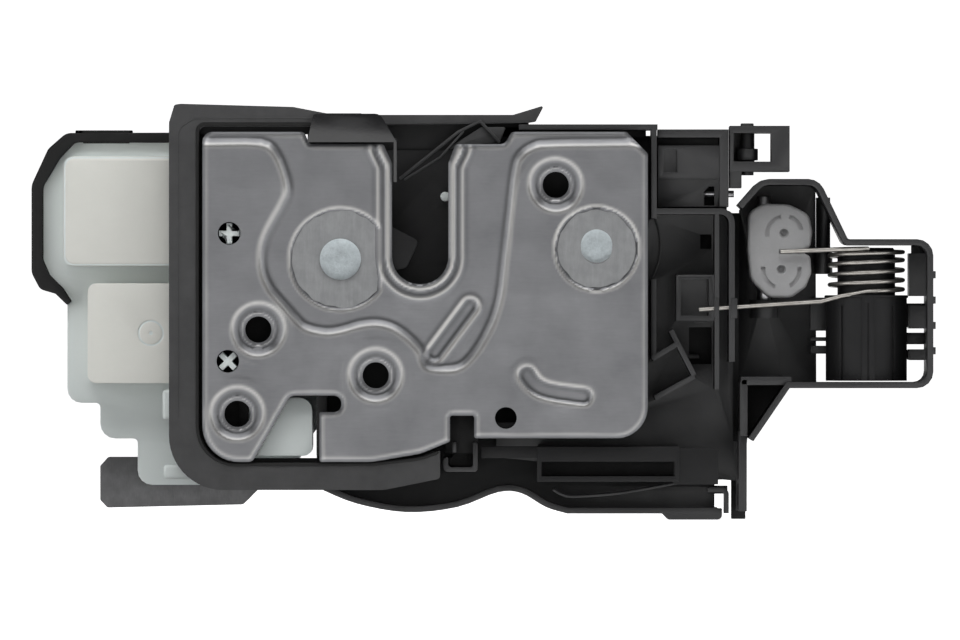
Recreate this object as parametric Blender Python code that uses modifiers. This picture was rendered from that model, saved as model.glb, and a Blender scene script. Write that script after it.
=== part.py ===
"""Side-door latch module with a power-lock actuator.

Frame: +X across the face plate, +Z up along the striker slot, +Y into the door. The origin lies on
the outer face of the plate, on the slot's centre line, level with the lower edge of the slot field.
Sizes below are in millimetres and are turned into metres where a mesh is made.
"""
import math

import bmesh
import bpy
from mathutils import Matrix, Vector

MM = 0.001
GAP = 0.3            # clearance between neighbouring pieces
ARC_STEP = math.radians(26)

# Face plate outline
PLATE_LEFT = -48.0
PLATE_RIGHT = 50.2
PLATE_TOP = 59.1
PLATE_MOUTH_TOP = 56.4
PLATE_BOTTOM = -8.5
PLATE_LOBE_BOTTOM = -13.7
SHEET = 1.8          # steel sheet of the plate
STEP_DEPTH = 1.0     # how far the central field is pressed in
SLOT_HALF = 6.2
SLOT_ROOT = 25.5
FLARED_HOLE_R = 2.9
FLARE_R = 5.8
FLARE_DEPTH = 1.3
FLARED_HOLES = ((-35.7, 15.5), (-40.3, -3.1), (-9.8, 5.4), (29.9, 47.4))
PLAIN_HOLE = (18.9, -4.0)
PLAIN_HOLE_R = 2.4
PLATE_PINS = ((-42.1, 36.7, 2.0), (-42.4, 8.5, 45.0))
PLATE_PIN_HOLE_R = 2.5

# Catch and pawl
CATCH_PIVOT = (-17.6, 31.0)
CATCH_R = 24.0
CATCH_OPEN = 65.0    # degrees between latched and open
CATCH_SHEET = 4.0
PAWL_PIVOT = (38.9, 34.1)
STRIKER_R = 5.0
RIVET_R = 3.0
RIVET_HEAD_R = 4.6
RIVET_HEAD = 1.0
COVER_SHEET = 1.2

# Layers into the door
HOUSING_WALL = 2.2
MECHANISM_DEPTH = 9.8
HOUSING_FLOOR = 2.0
BACK_SHEET = 1.8
ACTUATOR_WALL = 2.0
CHAMBER_DEPTH = 19.2
COVER_DEPTH = 9.7

Y_HOUSING = STEP_DEPTH + SHEET + GAP
Y_CATCH = Y_HOUSING + 0.6
Y_CATCH_COVER = Y_CATCH + CATCH_SHEET + GAP
Y_SPRING = Y_CATCH_COVER + COVER_SHEET + 0.6
Y_FLOOR = Y_HOUSING + MECHANISM_DEPTH
Y_BACK = Y_FLOOR + HOUSING_FLOOR + GAP
Y_TAIL = Y_BACK + BACK_SHEET + GAP
Y_WALL = Y_TAIL + RIVET_HEAD + 0.5
Y_CHAMBER = Y_WALL + ACTUATOR_WALL
Y_SPLIT = Y_CHAMBER + CHAMBER_DEPTH
Y_COVER = Y_SPLIT + GAP
Y_REAR = Y_COVER + COVER_DEPTH

# Gasket, guide and flap
GASKET_WIDTH = 6.6
GASKET_FRONT = 1.3
GASKET_DEPTH = 5.4
FLANGE = 1.8
Y_FLANGE = GASKET_FRONT + GASKET_DEPTH + GAP
GASKET_TOP = 63.2
GASKET_DEEP = Y_SPRING + 0.4

# Actuator
ACTUATOR_LEFT = -83.8
ACTUATOR_TOP = 57.1
ACTUATOR_BOTTOM = -19.0
ACTUATOR_RIGHT = 15.6
CHAMBER_RIM = 2.0
BOX_FRONT = Y_FLANGE + FLANGE + GAP
MOTOR_BOX = (-78.9, 29.6, 53.7)
SWITCH_BOX = (-73.5, 3.7, 25.6)
SEAL_WIDTH = 2.2
MOTOR_R = 9.3
MOTOR_LENGTH = 25.5
MOTOR_AXIS = (Y_CHAMBER + 4.4, 41.6)
WORM_R = 3.05
WORM_THREAD_R = 0.5
WORM_CORE_R = 2.7
WORM_TURNS = 4
TEETH = 20
TOOTH_PITCH = 3.0
WHEEL_FACE = 3.0
WHEEL_X = -38.0
PIN_R = 1.5           # pins of the wheel and the lock lever
LOCK_PIVOT = (-14.0, 26.0)
SCREW_R = 1.4
SCREW_HEAD_R = 3.2
SCREWS = ((-72.0, 4.6), (11.0, 4.6), (11.0, 50.6), (-28.0, 50.6))
TERMINALS = (-68.0, -64.0, -60.0, -56.0)
TERMINAL_Z = 16.0

# Release lever
LEVER_PIVOT = (-42.0, -9.0)
LEVER_SHEET = 2.0
LEVER_PIN_R = 2.0

# Carrier to the right of the plate
CARRIER_LEFT = ACTUATOR_RIGHT + 1.2
CARRIER_WALL = 1.3
CARRIER_FRONT = Y_HOUSING + 0.9
ARM_REACH = 62.4     # from the plate's right edge to the arm's outer wall
ARM_DEPTH = 22.0
SPRING_X = PLATE_RIGHT + 48.6
SPRING_Y = 14.0
SPRING_COIL_R = 8.15
SPRING_WIRE_R = 0.5
SPRING_TURNS = 5
POST_R = 9.3
POST_CORE_R = 6.4
POST_TOP = 23.1
TOGGLE_PIN_X = PLATE_RIGHT + 26.0
TOGGLE_PIN_R = 1.5
KEY_X = PLATE_RIGHT + 22.1
KEY_Y = 10.0
KEY_R = 1.45
KEY_COLLAR_R = 2.4
LINK_PIN_R = 0.75
LINK_PIN_Z = 45.5

STEEL = ((0.42, 0.42, 0.43), 0.35, 1.0)
ZINC = ((0.62, 0.66, 0.67), 0.55, 0.6)
BRASS = ((0.72, 0.55, 0.25), 0.3, 1.0)
SPRING_STEEL = ((0.45, 0.44, 0.42), 0.3, 1.0)
BLACK = ((0.022, 0.022, 0.024), 0.5, 0.0)
GLOSS_BLACK = ((0.012, 0.012, 0.013), 0.2, 0.0)
RUBBER = ((0.05, 0.05, 0.053), 0.75, 0.0)
WHITE = ((0.72, 0.76, 0.74), 0.45, 0.0)
GREY = ((0.42, 0.42, 0.43), 0.5, 0.0)

for leftover in list(bpy.data.objects):
    bpy.data.objects.remove(leftover, do_unlink=True)
PARTS = bpy.data.collections.new("side_door_latch")
CUTTERS = bpy.data.collections.new("cutters")
for group in (PARTS, CUTTERS):
    bpy.context.scene.collection.children.link(group)


# ---------------------------------------------------------------- outlines
def rounded(corners):
    """Closed outline through corners (x, z) or (x, z, radius), each radius drawn as an arc."""
    spots = [Vector(corner[:2]) for corner in corners]
    count = len(spots)
    reach = []
    half_angles = []
    for index, corner in enumerate(corners):
        before = spots[index - 1] - spots[index]
        after = spots[(index + 1) % count] - spots[index]
        half = before.angle(after) / 2
        half_angles.append(half)
        reach.append(corner[2] / math.tan(half) if len(corner) > 2 else 0.0)
    for index in range(count):
        following = (index + 1) % count
        room = 0.98 * (spots[following] - spots[index]).length
        wanted = reach[index] + reach[following]
        if wanted > room:
            reach[index] *= room / wanted
            reach[following] *= room / wanted
    points = []
    for index, spot in enumerate(spots):
        if reach[index] < 1e-6:
            points.append(tuple(spot))
            continue
        to_before = (spots[index - 1] - spot).normalized()
        to_after = (spots[(index + 1) % count] - spot).normalized()
        radius = reach[index] * math.tan(half_angles[index])
        centre = spot + (to_before + to_after).normalized() * radius / math.sin(half_angles[index])
        first = spot + to_before * reach[index] - centre
        last = spot + to_after * reach[index] - centre
        start = math.atan2(first.y, first.x)
        sweep = (math.atan2(last.y, last.x) - start + math.pi) % math.tau - math.pi
        steps = max(1, math.ceil(abs(sweep) / ARC_STEP))
        for step in range(steps + 1):
            angle = start + sweep * step / steps
            points.append((centre.x + radius * math.cos(angle), centre.y + radius * math.sin(angle)))
    return points


def smooth(points, per_span=4):
    """Open smooth curve through the points."""
    ends = [points[0], *points, points[-1]]
    path = []
    for index in range(1, len(ends) - 2):
        a, b, c, d = (Vector(ends[index + shift]) for shift in (-1, 0, 1, 2))
        for step in range(per_span):
            t = step / per_span
            spot = 0.5 * (2 * b + (c - a) * t + (2 * a - 5 * b + 4 * c - d) * t ** 2
                          + (3 * b - a - 3 * c + d) * t ** 3)
            path.append(tuple(spot))
    path.append(tuple(points[-1]))
    return path


def strip(path, width):
    """Closed outline of a wall of the given width along an open path."""
    left = []
    right = []
    for index, spot in enumerate(path):
        here = Vector(spot)
        ahead = Vector(path[min(index + 1, len(path) - 1)]) - here
        behind = here - Vector(path[max(index - 1, 0)])
        if ahead.length < 1e-9:
            ahead = behind
        if behind.length < 1e-9:
            behind = ahead
        side = (ahead.normalized() + behind.normalized()).normalized()
        normal = Vector((-side.y, side.x))
        spread = width / 2 / max(0.5, normal.dot(Vector((-ahead.y, ahead.x)).normalized()))
        left.append(tuple(here + normal * spread))
        right.append(tuple(here - normal * spread))
    return left + right[::-1]


def bent(corners):
    """Open path with its inner corners rounded, for the middle of a wall."""
    return rounded([corners[0][:2], *corners[1:-1], corners[-1][:2]])


def circle(centre, radius, steps=18):
    """Closed outline of a circle."""
    turn = math.tau / steps
    return [(centre[0] + radius * math.cos(step * turn), centre[1] + radius * math.sin(step * turn))
            for step in range(steps)]


def turned_about(points, centre, degrees):
    """Points turned about a centre, anticlockwise seen from the front."""
    angle = math.radians(degrees)
    cos, sin = math.cos(angle), math.sin(angle)
    return [(centre[0] + x * cos - z * sin, centre[1] + x * sin + z * cos, *rest)
            for x, z, *rest in points]


# ---------------------------------------------------------------- solids
def add(name, mesh, matrix=None):
    """Link a mesh as an object whose mesh holds its place."""
    if matrix is not None:
        mesh.transform(matrix)
    mesh.name = name
    solid = bpy.data.objects.new(name, mesh)
    CUTTERS.objects.link(solid)
    return solid


def from_curve(name, curve, matrix):
    """Mesh object made from a curve, its caps welded."""
    guide = bpy.data.objects.new(name + "_curve", curve)
    CUTTERS.objects.link(guide)
    guide.matrix_world = matrix
    bpy.context.view_layer.update()
    evaluated = guide.evaluated_get(bpy.context.evaluated_depsgraph_get())
    mesh = bpy.data.meshes.new_from_object(evaluated)
    shape = bmesh.new()
    shape.from_mesh(mesh)
    bmesh.ops.remove_doubles(shape, verts=shape.verts, dist=1e-6)
    bmesh.ops.recalc_face_normals(shape, faces=shape.faces)
    shape.to_mesh(mesh)
    shape.free()
    solid = add(name, mesh, guide.matrix_world)
    bpy.data.objects.remove(guide, do_unlink=True)
    return solid


def prism(name, outline, start, depth, holes=(), axis="Y"):
    """Flat outline with holes, extruded from start by depth along an axis."""
    curve = bpy.data.curves.new(name, "CURVE")
    curve.dimensions = "2D"
    curve.fill_mode = "BOTH"
    curve.extrude = depth * MM / 2
    for ring in (outline, *holes):
        spline = curve.splines.new("POLY")
        spline.points.add(len(ring) - 1)
        for point, (u, v) in zip(spline.points, ring):
            point.co = (u * MM, v * MM, 0, 1)
        spline.use_cyclic_u = True
    middle = (start + depth / 2) * MM
    turn = {"Y": Matrix.Rotation(math.pi / 2, 4, "X"),
            "X": Matrix.Rotation(math.pi / 2, 4, "Z") @ Matrix.Rotation(math.pi / 2, 4, "X"),
            "Z": Matrix.Identity(4)}[axis]
    place = {"Y": (0, middle, 0), "X": (middle, 0, 0), "Z": (0, 0, middle)}[axis]
    return from_curve(name, curve, Matrix.Translation(place) @ turn)


def box(name, low, high):
    """Box between two corners."""
    size = [b - a for a, b in zip(low, high)]
    middle = [(a + b) / 2 for a, b in zip(low, high)]
    shape = bmesh.new()
    bmesh.ops.create_cube(shape, size=MM)
    mesh = bpy.data.meshes.new(name)
    shape.to_mesh(mesh)
    shape.free()
    return add(name, mesh, Matrix.Translation(Vector(middle) * MM) @ Matrix.Diagonal((*size, 1)))


AXIS_TURN = {"X": Matrix.Rotation(math.pi / 2, 4, "Y"), "Y": Matrix.Rotation(-math.pi / 2, 4, "X"),
             "Z": Matrix.Identity(4)}


def drum(name, centre, radius, length, axis="Y", end_radius=None, segments=18):
    """Cylinder or cone from a start point along an axis."""
    shape = bmesh.new()
    bmesh.ops.create_cone(shape, cap_ends=True, segments=segments, radius1=radius * MM,
                          radius2=(radius if end_radius is None else end_radius) * MM, depth=length * MM)
    bmesh.ops.translate(shape, verts=shape.verts, vec=(0, 0, length * MM / 2))
    mesh = bpy.data.meshes.new(name)
    shape.to_mesh(mesh)
    shape.free()
    return add(name, mesh, Matrix.Translation(Vector(centre) * MM) @ AXIS_TURN[axis])


def turned(name, profile, centre, axis="Y", segments=18):
    """Turned solid: the profile is (radius, height) from the far end back to the start."""
    mesh = bpy.data.meshes.new(name)
    mesh.from_pydata([(radius * MM, 0, height * MM) for radius, height in profile],
                     [(index, index + 1) for index in range(len(profile) - 1)], [])
    solid = bpy.data.objects.new(name, mesh)
    CUTTERS.objects.link(solid)
    screw = solid.modifiers.new("turn", "SCREW")
    screw.steps = segments
    screw.render_steps = segments
    screw.use_merge_vertices = True
    screw.merge_threshold = 1e-5
    solid.matrix_world = Matrix.Translation(Vector(centre) * MM) @ AXIS_TURN[axis]
    return solid


def wire(name, points, radius, sides=2):
    """Round wire through points in space."""
    curve = bpy.data.curves.new(name, "CURVE")
    curve.dimensions = "3D"
    curve.bevel_depth = radius * MM
    curve.bevel_resolution = sides
    curve.use_fill_caps = True
    spline = curve.splines.new("POLY")
    spline.points.add(len(points) - 1)
    for point, spot in zip(spline.points, points):
        point.co = (*(value * MM for value in spot), 1)
    return from_curve(name, curve, Matrix.Identity(4))


def combine(target, operation, others):
    """Boolean each of the others with the target."""
    for other in others:
        step = target.modifiers.new(operation.lower(), "BOOLEAN")
        step.operation = operation
        step.solver = "EXACT"
        step.object = other
    return target


def unite(target, *others):
    """Join solids into the target."""
    return combine(target, "UNION", others)


def carve(target, *others):
    """Cut solids from the target."""
    return combine(target, "DIFFERENCE", others)


def finish(solid, look, origin=(0, 0, 0), soft_edges=True):
    """Make a solid a named part with its material and its origin on its joint's axis."""
    name = solid.name
    material = bpy.data.materials.new(name)
    material.use_nodes = True
    shader = material.node_tree.nodes["Principled BSDF"]
    shader.inputs["Base Color"].default_value = (*look[0], 1)
    shader.inputs["Roughness"].default_value = look[1]
    shader.inputs["Metallic"].default_value = look[2]
    solid.data.materials.append(material)
    if "turn" not in solid.modifiers:
        shift = Vector(origin) * MM
        solid.data.transform(Matrix.Translation(-shift) @ solid.matrix_world)
        solid.matrix_world = Matrix.Translation(shift)
    CUTTERS.objects.unlink(solid)
    PARTS.objects.link(solid)
    if soft_edges and len(solid.data.polygons):
        solid.data.shade_smooth()
        solid.data.set_sharp_from_angle(angle=math.radians(30))
    return solid


# ---------------------------------------------------------------- face plate
def plate_outline():
    """Outline of the face plate with its slot, tab and hook notch."""
    left, right, top, mouth = PLATE_LEFT, PLATE_RIGHT, PLATE_TOP, PLATE_MOUTH_TOP
    slot, low, lobe = SLOT_HALF, PLATE_BOTTOM, PLATE_LOBE_BOTTOM
    return rounded([
        (left, top, 2.2), (-25.6, top, 1.2), (-24.4, mouth, 1.0), (-slot - 1.7, mouth, 0.8),
        (-slot, mouth - 3.6, 0.8), (-slot, SLOT_ROOT, slot - 0.1), (slot, SLOT_ROOT, slot - 0.1),
        (slot, mouth - 3.6, 0.8), (slot + 1.5, mouth, 0.8), (18.6, mouth, 1.5), (20.2, top, 1.0),
        (right - 4.7, top, 0.8), (right, top - 4.8, 1.0), (right, low, 7.0), (11.9, low, 0.6),
        (11.9, low + 5.0, 0.5), (6.6, low + 5.0, 0.5), (6.6, low - 0.7, 0.6), (0.0, low - 3.4, 8.0),
        (-10.6, lobe, 10.0), (-22.2, lobe, 0.5), (-22.2, lobe + 11.0, 0.4),
        (-17.4, lobe + 11.0, 1.6), (-17.4, lobe + 14.6, 1.6), (-28.6, lobe + 14.6, 1.5),
        (left + 11.0, lobe, 1.5), (left, lobe, 8.0)])


def lowered_field():
    """Outline of the pressed-in central field, open to the slot above."""
    top = PLATE_TOP + 2
    edge = smooth([(-33.0, top), (-30.2, 50.5), (-30.0, 43.0), (-34.2, 35.5), (-34.4, 28.4), (-30.9, 22.0),
                   (-25.1, 16.1), (-17.1, 15.6), (-8.0, 16.9), (-1.5, 12.8), (1.4, 7.9), (5.4, 6.7),
                   (9.8, 8.2), (14.1, 13.9), (17.6, 23.8), (18.9, 34.0), (20.0, 46.0), (21.6, 53.4),
                   (25.0, top)], 3)
    return edge


def face_plate():
    back = STEP_DEPTH + SHEET
    plate = prism("face_plate", plate_outline(), 0, back)
    carve(plate, prism("lowered_field", lowered_field(), -1, 1 + STEP_DEPTH))
    for index, (x, z) in enumerate(FLARED_HOLES):
        flare = drum(f"flare_{index}", (x, -0.01, z), FLARE_R, FLARE_DEPTH, end_radius=FLARED_HOLE_R + 0.6)
        hole = drum(f"flared_hole_{index}", (x, -1, z), FLARED_HOLE_R, back + 2)
        carve(plate, flare, hole)
    carve(plate, drum("plain_hole", (PLAIN_HOLE[0], -1, PLAIN_HOLE[1]), PLAIN_HOLE_R, back + 2))
    for index, (x, z, _) in enumerate(PLATE_PINS):
        carve(plate, drum(f"pin_hole_{index}", (x, -1, z), PLATE_PIN_HOLE_R, back + 2))
    recess = STEP_DEPTH + 0.5
    for label, spot, radius in (("catch", CATCH_PIVOT, 11.2), ("pawl", PAWL_PIVOT, 9.0)):
        carve(plate, drum(f"{label}_recess", (spot[0], -1, spot[1]), radius, 1 + recess, segments=26))
        carve(plate, drum(f"{label}_rivet_hole", (spot[0], 0, spot[1]), RIVET_R + GAP, back + 2))
    bead = rounded([(12.3, 22.3, 1.5), (9.6, 20.9, 1.5), (1.1, 8.9, 1.5), (4.2, 9.9, 1.5)])
    kidney = rounded(strip(smooth([(22.3, 5.6), (28.2, 1.8), (36.5, 0.8)]), 3.7))
    carve(plate, prism("bead_cut", bead, -1, 1.6 + STEP_DEPTH), prism("kidney_cut", kidney, -1, 1.8))
    finish(plate, STEEL)


def rivet(name, spot):
    """Shouldered rivet: front head in the plate's recess, tail head behind the back plate."""
    head_front = 0.2
    tail = Y_TAIL + RIVET_HEAD
    profile = [(0, tail), (RIVET_HEAD_R, tail), (RIVET_HEAD_R, Y_TAIL), (RIVET_R, Y_TAIL),
               (RIVET_R, head_front + RIVET_HEAD), (RIVET_HEAD_R, head_front + RIVET_HEAD),
               (RIVET_HEAD_R, head_front + 0.3), (RIVET_HEAD_R - 1, head_front), (0, head_front)]
    finish(turned(name, profile, (spot[0], 0, spot[1])), ZINC)


def plate_pin(name, x, z, turn):
    """White locating pin with a cross-shaped end standing in its hole in the plate."""
    reach = PLATE_PIN_HOLE_R - GAP - 0.2
    arm = 0.6
    cross = [(reach, arm), (arm, arm), (arm, reach), (-arm, reach), (-arm, arm), (-reach, arm),
             (-reach, -arm), (-arm, -arm), (-arm, -reach), (arm, -reach), (arm, -arm), (reach, -arm)]
    pin = prism(name, turned_about(cross, (x, z), turn), 0.8, Y_HOUSING + 4 - 0.8)
    unite(pin, drum(name + "_shank", (x, Y_HOUSING + 0.6, z), PLATE_PIN_HOLE_R - GAP,
                    Y_FLOOR - Y_HOUSING - 0.9))
    finish(pin, WHITE, (x, 0, z))


# ---------------------------------------------------------------- catch and pawl
def catch_outline(shrink=0.0):
    """Catch at rest, open, ready for the striker. Corners are from its pivot, latched."""
    outer = CATCH_R - shrink
    notch = STRIKER_R + 0.7
    arc = [(outer * math.cos(math.radians(angle)), outer * math.sin(math.radians(angle)))
           for angle in range(18, 79, 12)]
    body = [(-9.0, 15.0, 6.0), (-13.0 + shrink, 4.0, 8.0), (-10.0, -8.0, 6.0), (2.0, -10.5, 3.0),
            (4.4 + shrink, -14.0 + shrink, 1.2), (11.0 - shrink, -14.0 + shrink, 1.2),
            (17.6 - notch, 0.7 + notch, notch - 0.1), (17.6 + notch - 1.6, 0.7 + notch, 0.8)]
    latched = [*arc, *body]
    return rounded(turned_about(latched, CATCH_PIVOT, CATCH_OPEN))


def catch():
    origin = (CATCH_PIVOT[0], 0, CATCH_PIVOT[1])
    bore = circle(CATCH_PIVOT, RIVET_R + GAP)
    finish(prism("catch_plate", catch_outline(), Y_CATCH, CATCH_SHEET, [bore]), STEEL, origin)
    finish(prism("catch_cover", catch_outline(0.6), Y_CATCH_COVER, COVER_SHEET, [bore]), BLACK, origin)


def pawl_outline(shrink=0.0):
    """Pawl resting just clear of the catch's path."""
    x, z = PAWL_PIVOT
    corners = [(x - 7.5 + shrink, z - 2.0, 3.0), (x - 27.0, z - 11.0 - shrink, 6.0),
               (x - 41.2 + shrink, z - 14.6 - shrink, 1.0), (x - 43.4 + shrink, z - 18.6 + shrink, 1.0),
               (x - 28.0, z - 19.2 + shrink, 4.0), (x - 8.0, z - 9.5 + shrink, 5.0),
               (x - 1.0, z - 12.4 + shrink, 1.5), (x + 4.6 - shrink, z - 11.4, 1.5),
               (x + 6.6 - shrink, z + 6.6 - shrink, 6.0), (x - 7.0 + shrink, z + 6.6 - shrink, 6.0)]
    return rounded(corners)


def pawl():
    origin = (PAWL_PIVOT[0], 0, PAWL_PIVOT[1])
    bore = circle(PAWL_PIVOT, RIVET_R + GAP)
    finish(prism("pawl_plate", pawl_outline(), Y_CATCH, CATCH_SHEET, [bore]), STEEL, origin)
    finish(prism("pawl_cover", pawl_outline(0.8), Y_CATCH_COVER, COVER_SHEET, [bore]), BLACK, origin)


def coil_spring(name, spot, start, coil_radius, wire_radius, turns, legs):
    """Torsion spring round an axis along Y, with a straight leg at each end."""
    per_turn = 10
    pitch = 2 * wire_radius + 0.25
    steps = round(turns * per_turn)
    coil = []
    for step in range(steps + 1):
        angle = math.tau * step / per_turn
        coil.append((spot[0] + coil_radius * math.cos(angle), start + wire_radius + pitch * step / per_turn,
                     spot[1] + coil_radius * math.sin(angle)))
    first, last = coil[0], coil[-1]
    path = [(first[0] + legs[0][0], first[1], first[2] + legs[0][1]), *coil,
            (last[0] + legs[1][0], last[1], last[2] + legs[1][1])]
    finish(wire(name, path, wire_radius, 1), SPRING_STEEL)


# ---------------------------------------------------------------- latch housing
def latch_housing():
    left, right, top = PLATE_LEFT + 1.3, PLATE_RIGHT - 1.4, PLATE_TOP - 1.4
    mouth, low, lobe = PLATE_MOUTH_TOP - 1.2, PLATE_BOTTOM + 1.3, PLATE_LOBE_BOTTOM + 1.4
    depth = MECHANISM_DEPTH + HOUSING_FLOOR
    outline = rounded([(left, top, 2), (-25.8, top), (-23.8, mouth), (17.6, mouth), (19.4, top),
                       (right, top, 4), (right, low, 6), (13.2, low), (13.2, low + 5), (5.3, low + 5),
                       (5.3, low - 1.4), (-8.0, lobe, 8), (left, lobe, 8)])
    housing = prism("latch_housing", outline, Y_HOUSING, depth)
    flange_left = PLATE_LEFT - GASKET_WIDTH
    flange = rounded([(flange_left, GASKET_TOP, 3), (-14.0, GASKET_TOP - 1.6), (-14.0, -5.0), (3.8, -12.0),
                      (3.8, -16.4, 1), (-8.0, lobe - 6.4, 6), (flange_left, lobe - 6.4, 10)])
    unite(housing, prism("gasket_flange", flange, Y_FLANGE, FLANGE))
    wall = HOUSING_WALL
    pocket = rounded([(left + wall, top - wall, 1), (-25.8 - wall / 2, top - wall),
                      (-23.8 - wall, mouth - 0.9),
                      (17.6 + wall, mouth - 0.9), (19.4 + wall, top - wall), (right - wall, top - wall, 3),
                      (right - wall, low + wall, 5), (13.2 + wall, low + wall), (13.2 + wall, low + 5 + wall),
                      (5.3 - wall, low + 5 + wall), (5.3 - wall, low - 0.4 + wall), (-8.0, lobe + wall, 6),
                      (-20.6, lobe + wall), (-20.6, lobe + 16.4), (-40.2, lobe + 16.4), (-40.2, lobe + wall),
                      (left + wall, lobe + wall, 6)])
    carve(housing, prism("mechanism_pocket", pocket, 0, Y_FLOOR))
    carve(housing, box("catch_sweep_gap", (-31, Y_HOUSING - 1, mouth - 3), (-8, Y_SPRING, mouth + 9)))
    mouth_half = SLOT_HALF + 1.6
    carve(housing, box("striker_mouth", (-mouth_half, 0, 44), (mouth_half, Y_FLOOR, GASKET_TOP + 3)))
    carve(housing, box("foot_opening", (-38.0, 0, lobe - 0.6), (-22.9, Y_BACK + 1, lobe + 14.0)))
    for index, spot in enumerate((CATCH_PIVOT, PAWL_PIVOT)):
        carve(housing, drum(f"rivet_way_{index}", (spot[0], 0, spot[1]), RIVET_R + GAP, Y_BACK + 1))
    for index, (x, z) in enumerate(FLARED_HOLES):
        carve(housing, drum(f"screw_space_{index}", (x, 0, z), FLARED_HOLE_R + 0.3, Y_FLOOR - 1, segments=16))
    for index, (x, z, _) in enumerate(PLATE_PINS):
        boss = drum(f"pin_boss_{index}", (x, Y_HOUSING + 2, z), PLATE_PIN_HOLE_R + 1.2,
                    Y_FLOOR - Y_HOUSING - 1.5)
        bore = drum(f"pin_bore_{index}", (x, 0, z), PLATE_PIN_HOLE_R, Y_FLOOR)
        unite(housing, boss)
        carve(housing, bore)
    finish(housing, BLACK)


def striker_bumper():
    """Rubber cushion round the slot's root, behind the catch."""
    outer = SLOT_HALF + 3.0
    inner = SLOT_HALF + 0.3
    outline = rounded([(-outer, 35), (-outer, SLOT_ROOT - 3, 7), (outer, SLOT_ROOT - 3, 7), (outer, 35),
                       (inner, 35), (inner, SLOT_ROOT, inner - 0.1), (-inner, SLOT_ROOT, inner - 0.1),
                       (-inner, 35)])
    finish(prism("striker_bumper", outline, Y_SPRING, Y_FLOOR - Y_SPRING - GAP), RUBBER)


def back_plate():
    slot = SLOT_HALF + 1.5
    outline = rounded([(-33, 52, 3), (-slot, 52), (-slot, 27, 6), (slot, 27, 6), (slot, 52),
                       (PLATE_RIGHT - 3, 52, 3), (PLATE_RIGHT - 3, 22, 4), (20, 14, 4), (-24, 14, 4),
                       (-33, 22, 3)])
    bores = [circle(CATCH_PIVOT, RIVET_R + GAP), circle(PAWL_PIVOT, RIVET_R + GAP)]
    finish(prism("back_plate", outline, Y_BACK, BACK_SHEET, bores), STEEL)


# ---------------------------------------------------------------- gasket, guide and flap
def plate_gasket():
    left = PLATE_LEFT - 0.8
    outer_left = left - GASKET_WIDTH
    low = PLATE_LOBE_BOTTOM - 0.4
    top = PLATE_TOP + 1.2
    depth = GASKET_DEPTH
    split = -13.0
    ring = rounded([(split, top), (split, GASKET_TOP), (-20.7, GASKET_TOP), (-28.0, GASKET_TOP + 1.4),
                    (outer_left + 2.2, GASKET_TOP + 2.2, 1.2), (outer_left, GASKET_TOP - 2, 2),
                    (outer_left, low - 5.8, 12), (-8.0, low - 5.8, 8), (4.6, low - 3.2, 1),
                    (4.6, PLATE_BOTTOM - 2.6), (0.0, PLATE_BOTTOM - 4.2, 8), (-10.6, low, 10),
                    (left, low, 8.6), (left, top, 1.5)])
    gasket = prism("plate_gasket", ring, GASKET_FRONT, depth)
    deep = rounded([(split - 5, top + 0.3), (split - 5, GASKET_TOP - 0.2), (20.5, GASKET_TOP - 0.2),
                    (27.5, GASKET_TOP + 2.0), (25.5, GASKET_TOP - 1.7), (23.5, top + 0.9, 2)])
    unite(gasket, prism("gasket_deep_run", deep, GASKET_DEEP, 3.4),
          box("gasket_step", (split - 4.9, GASKET_FRONT + 0.2, top + 0.4),
              (split - 0.4, GASKET_DEEP + 3.2, GASKET_TOP - 0.3)))
    finish(gasket, RUBBER)


def mouth_guide():
    """Glossy guide across the plate's lowered edge, folded down the slot's left side."""
    slot = SLOT_HALF - 0.35
    top = PLATE_MOUTH_TOP
    face = rounded([(-24.9, top + 0.4), (-23.6, GASKET_TOP - 0.1, 1), (-slot - 3, GASKET_TOP - 0.1, 2),
                    (-slot + 0.7, top + 0.4)])
    guide = prism("mouth_guide", face, 0.1, GASKET_FRONT - GAP - 0.1)
    unite(guide, box("guide_leg", (-slot, 0.2, top - 8.4), (-slot + 0.7, Y_HOUSING, top + 1.2)))
    finish(guide, GLOSS_BLACK)


def mouth_flap():
    """Thin rubber flap folded across the mouth, behind the catch."""
    top = PLATE_TOP + 1.5
    outline = rounded([(-4.8, 48.6, 0.4), (13.4, top - GAP, 0.4), (19.0, top - GAP, 0.4), (17.6, 56.9, 1),
                       (7.4, 55.6, 1)])
    finish(prism("mouth_flap", outline, GASKET_DEEP, 1.0), RUBBER)


def guide_pin():
    """White locating pin standing on the housing floor beside the mouth."""
    finish(drum("guide_pin", (SLOT_HALF - 0.7, Y_FLOOR - 2.9, 44.9), 1.1, 2.6, segments=12), WHITE)


# ---------------------------------------------------------------- actuator
def actuator_flange():
    left, top, low = ACTUATOR_LEFT, ACTUATOR_TOP, ACTUATOR_BOTTOM
    return rounded([(left + 5.7, top, 1.5), (left, top - 8.3, 2), (left, 28.7, 2), (left + 5.4, 22.5, 2),
                    (left + 5.4, -0.8, 3.1), (left + 12.7, -0.8, 1), (left + 12.7, -8.7, 3.3),
                    (left + 21.0, -8.7, 1), (left + 21.0, low, 3.2), (-30.0, low, 3), (-22.9, -6.0, 3),
                    (ACTUATOR_RIGHT, -2.4, 3), (ACTUATOR_RIGHT, top, 3)])


def chamber_outline(inset):
    """Rim of the actuator chamber, moved inwards by the inset."""
    left, right, top, low = (ACTUATOR_LEFT + 2.4 + inset, ACTUATOR_RIGHT - inset,
                             ACTUATOR_TOP - 1.6 - inset, -0.4 + inset)
    corner = max(0.6, 3 - inset)
    return rounded([(left + 4.6, top, corner), (left, top - 7.0, corner), (left, 26.4 + inset, corner),
                    (left + 5.2, 20.6 + inset, corner),
                    (left + 5.2, low, corner), (right, low, corner), (right, top, corner)])


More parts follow.
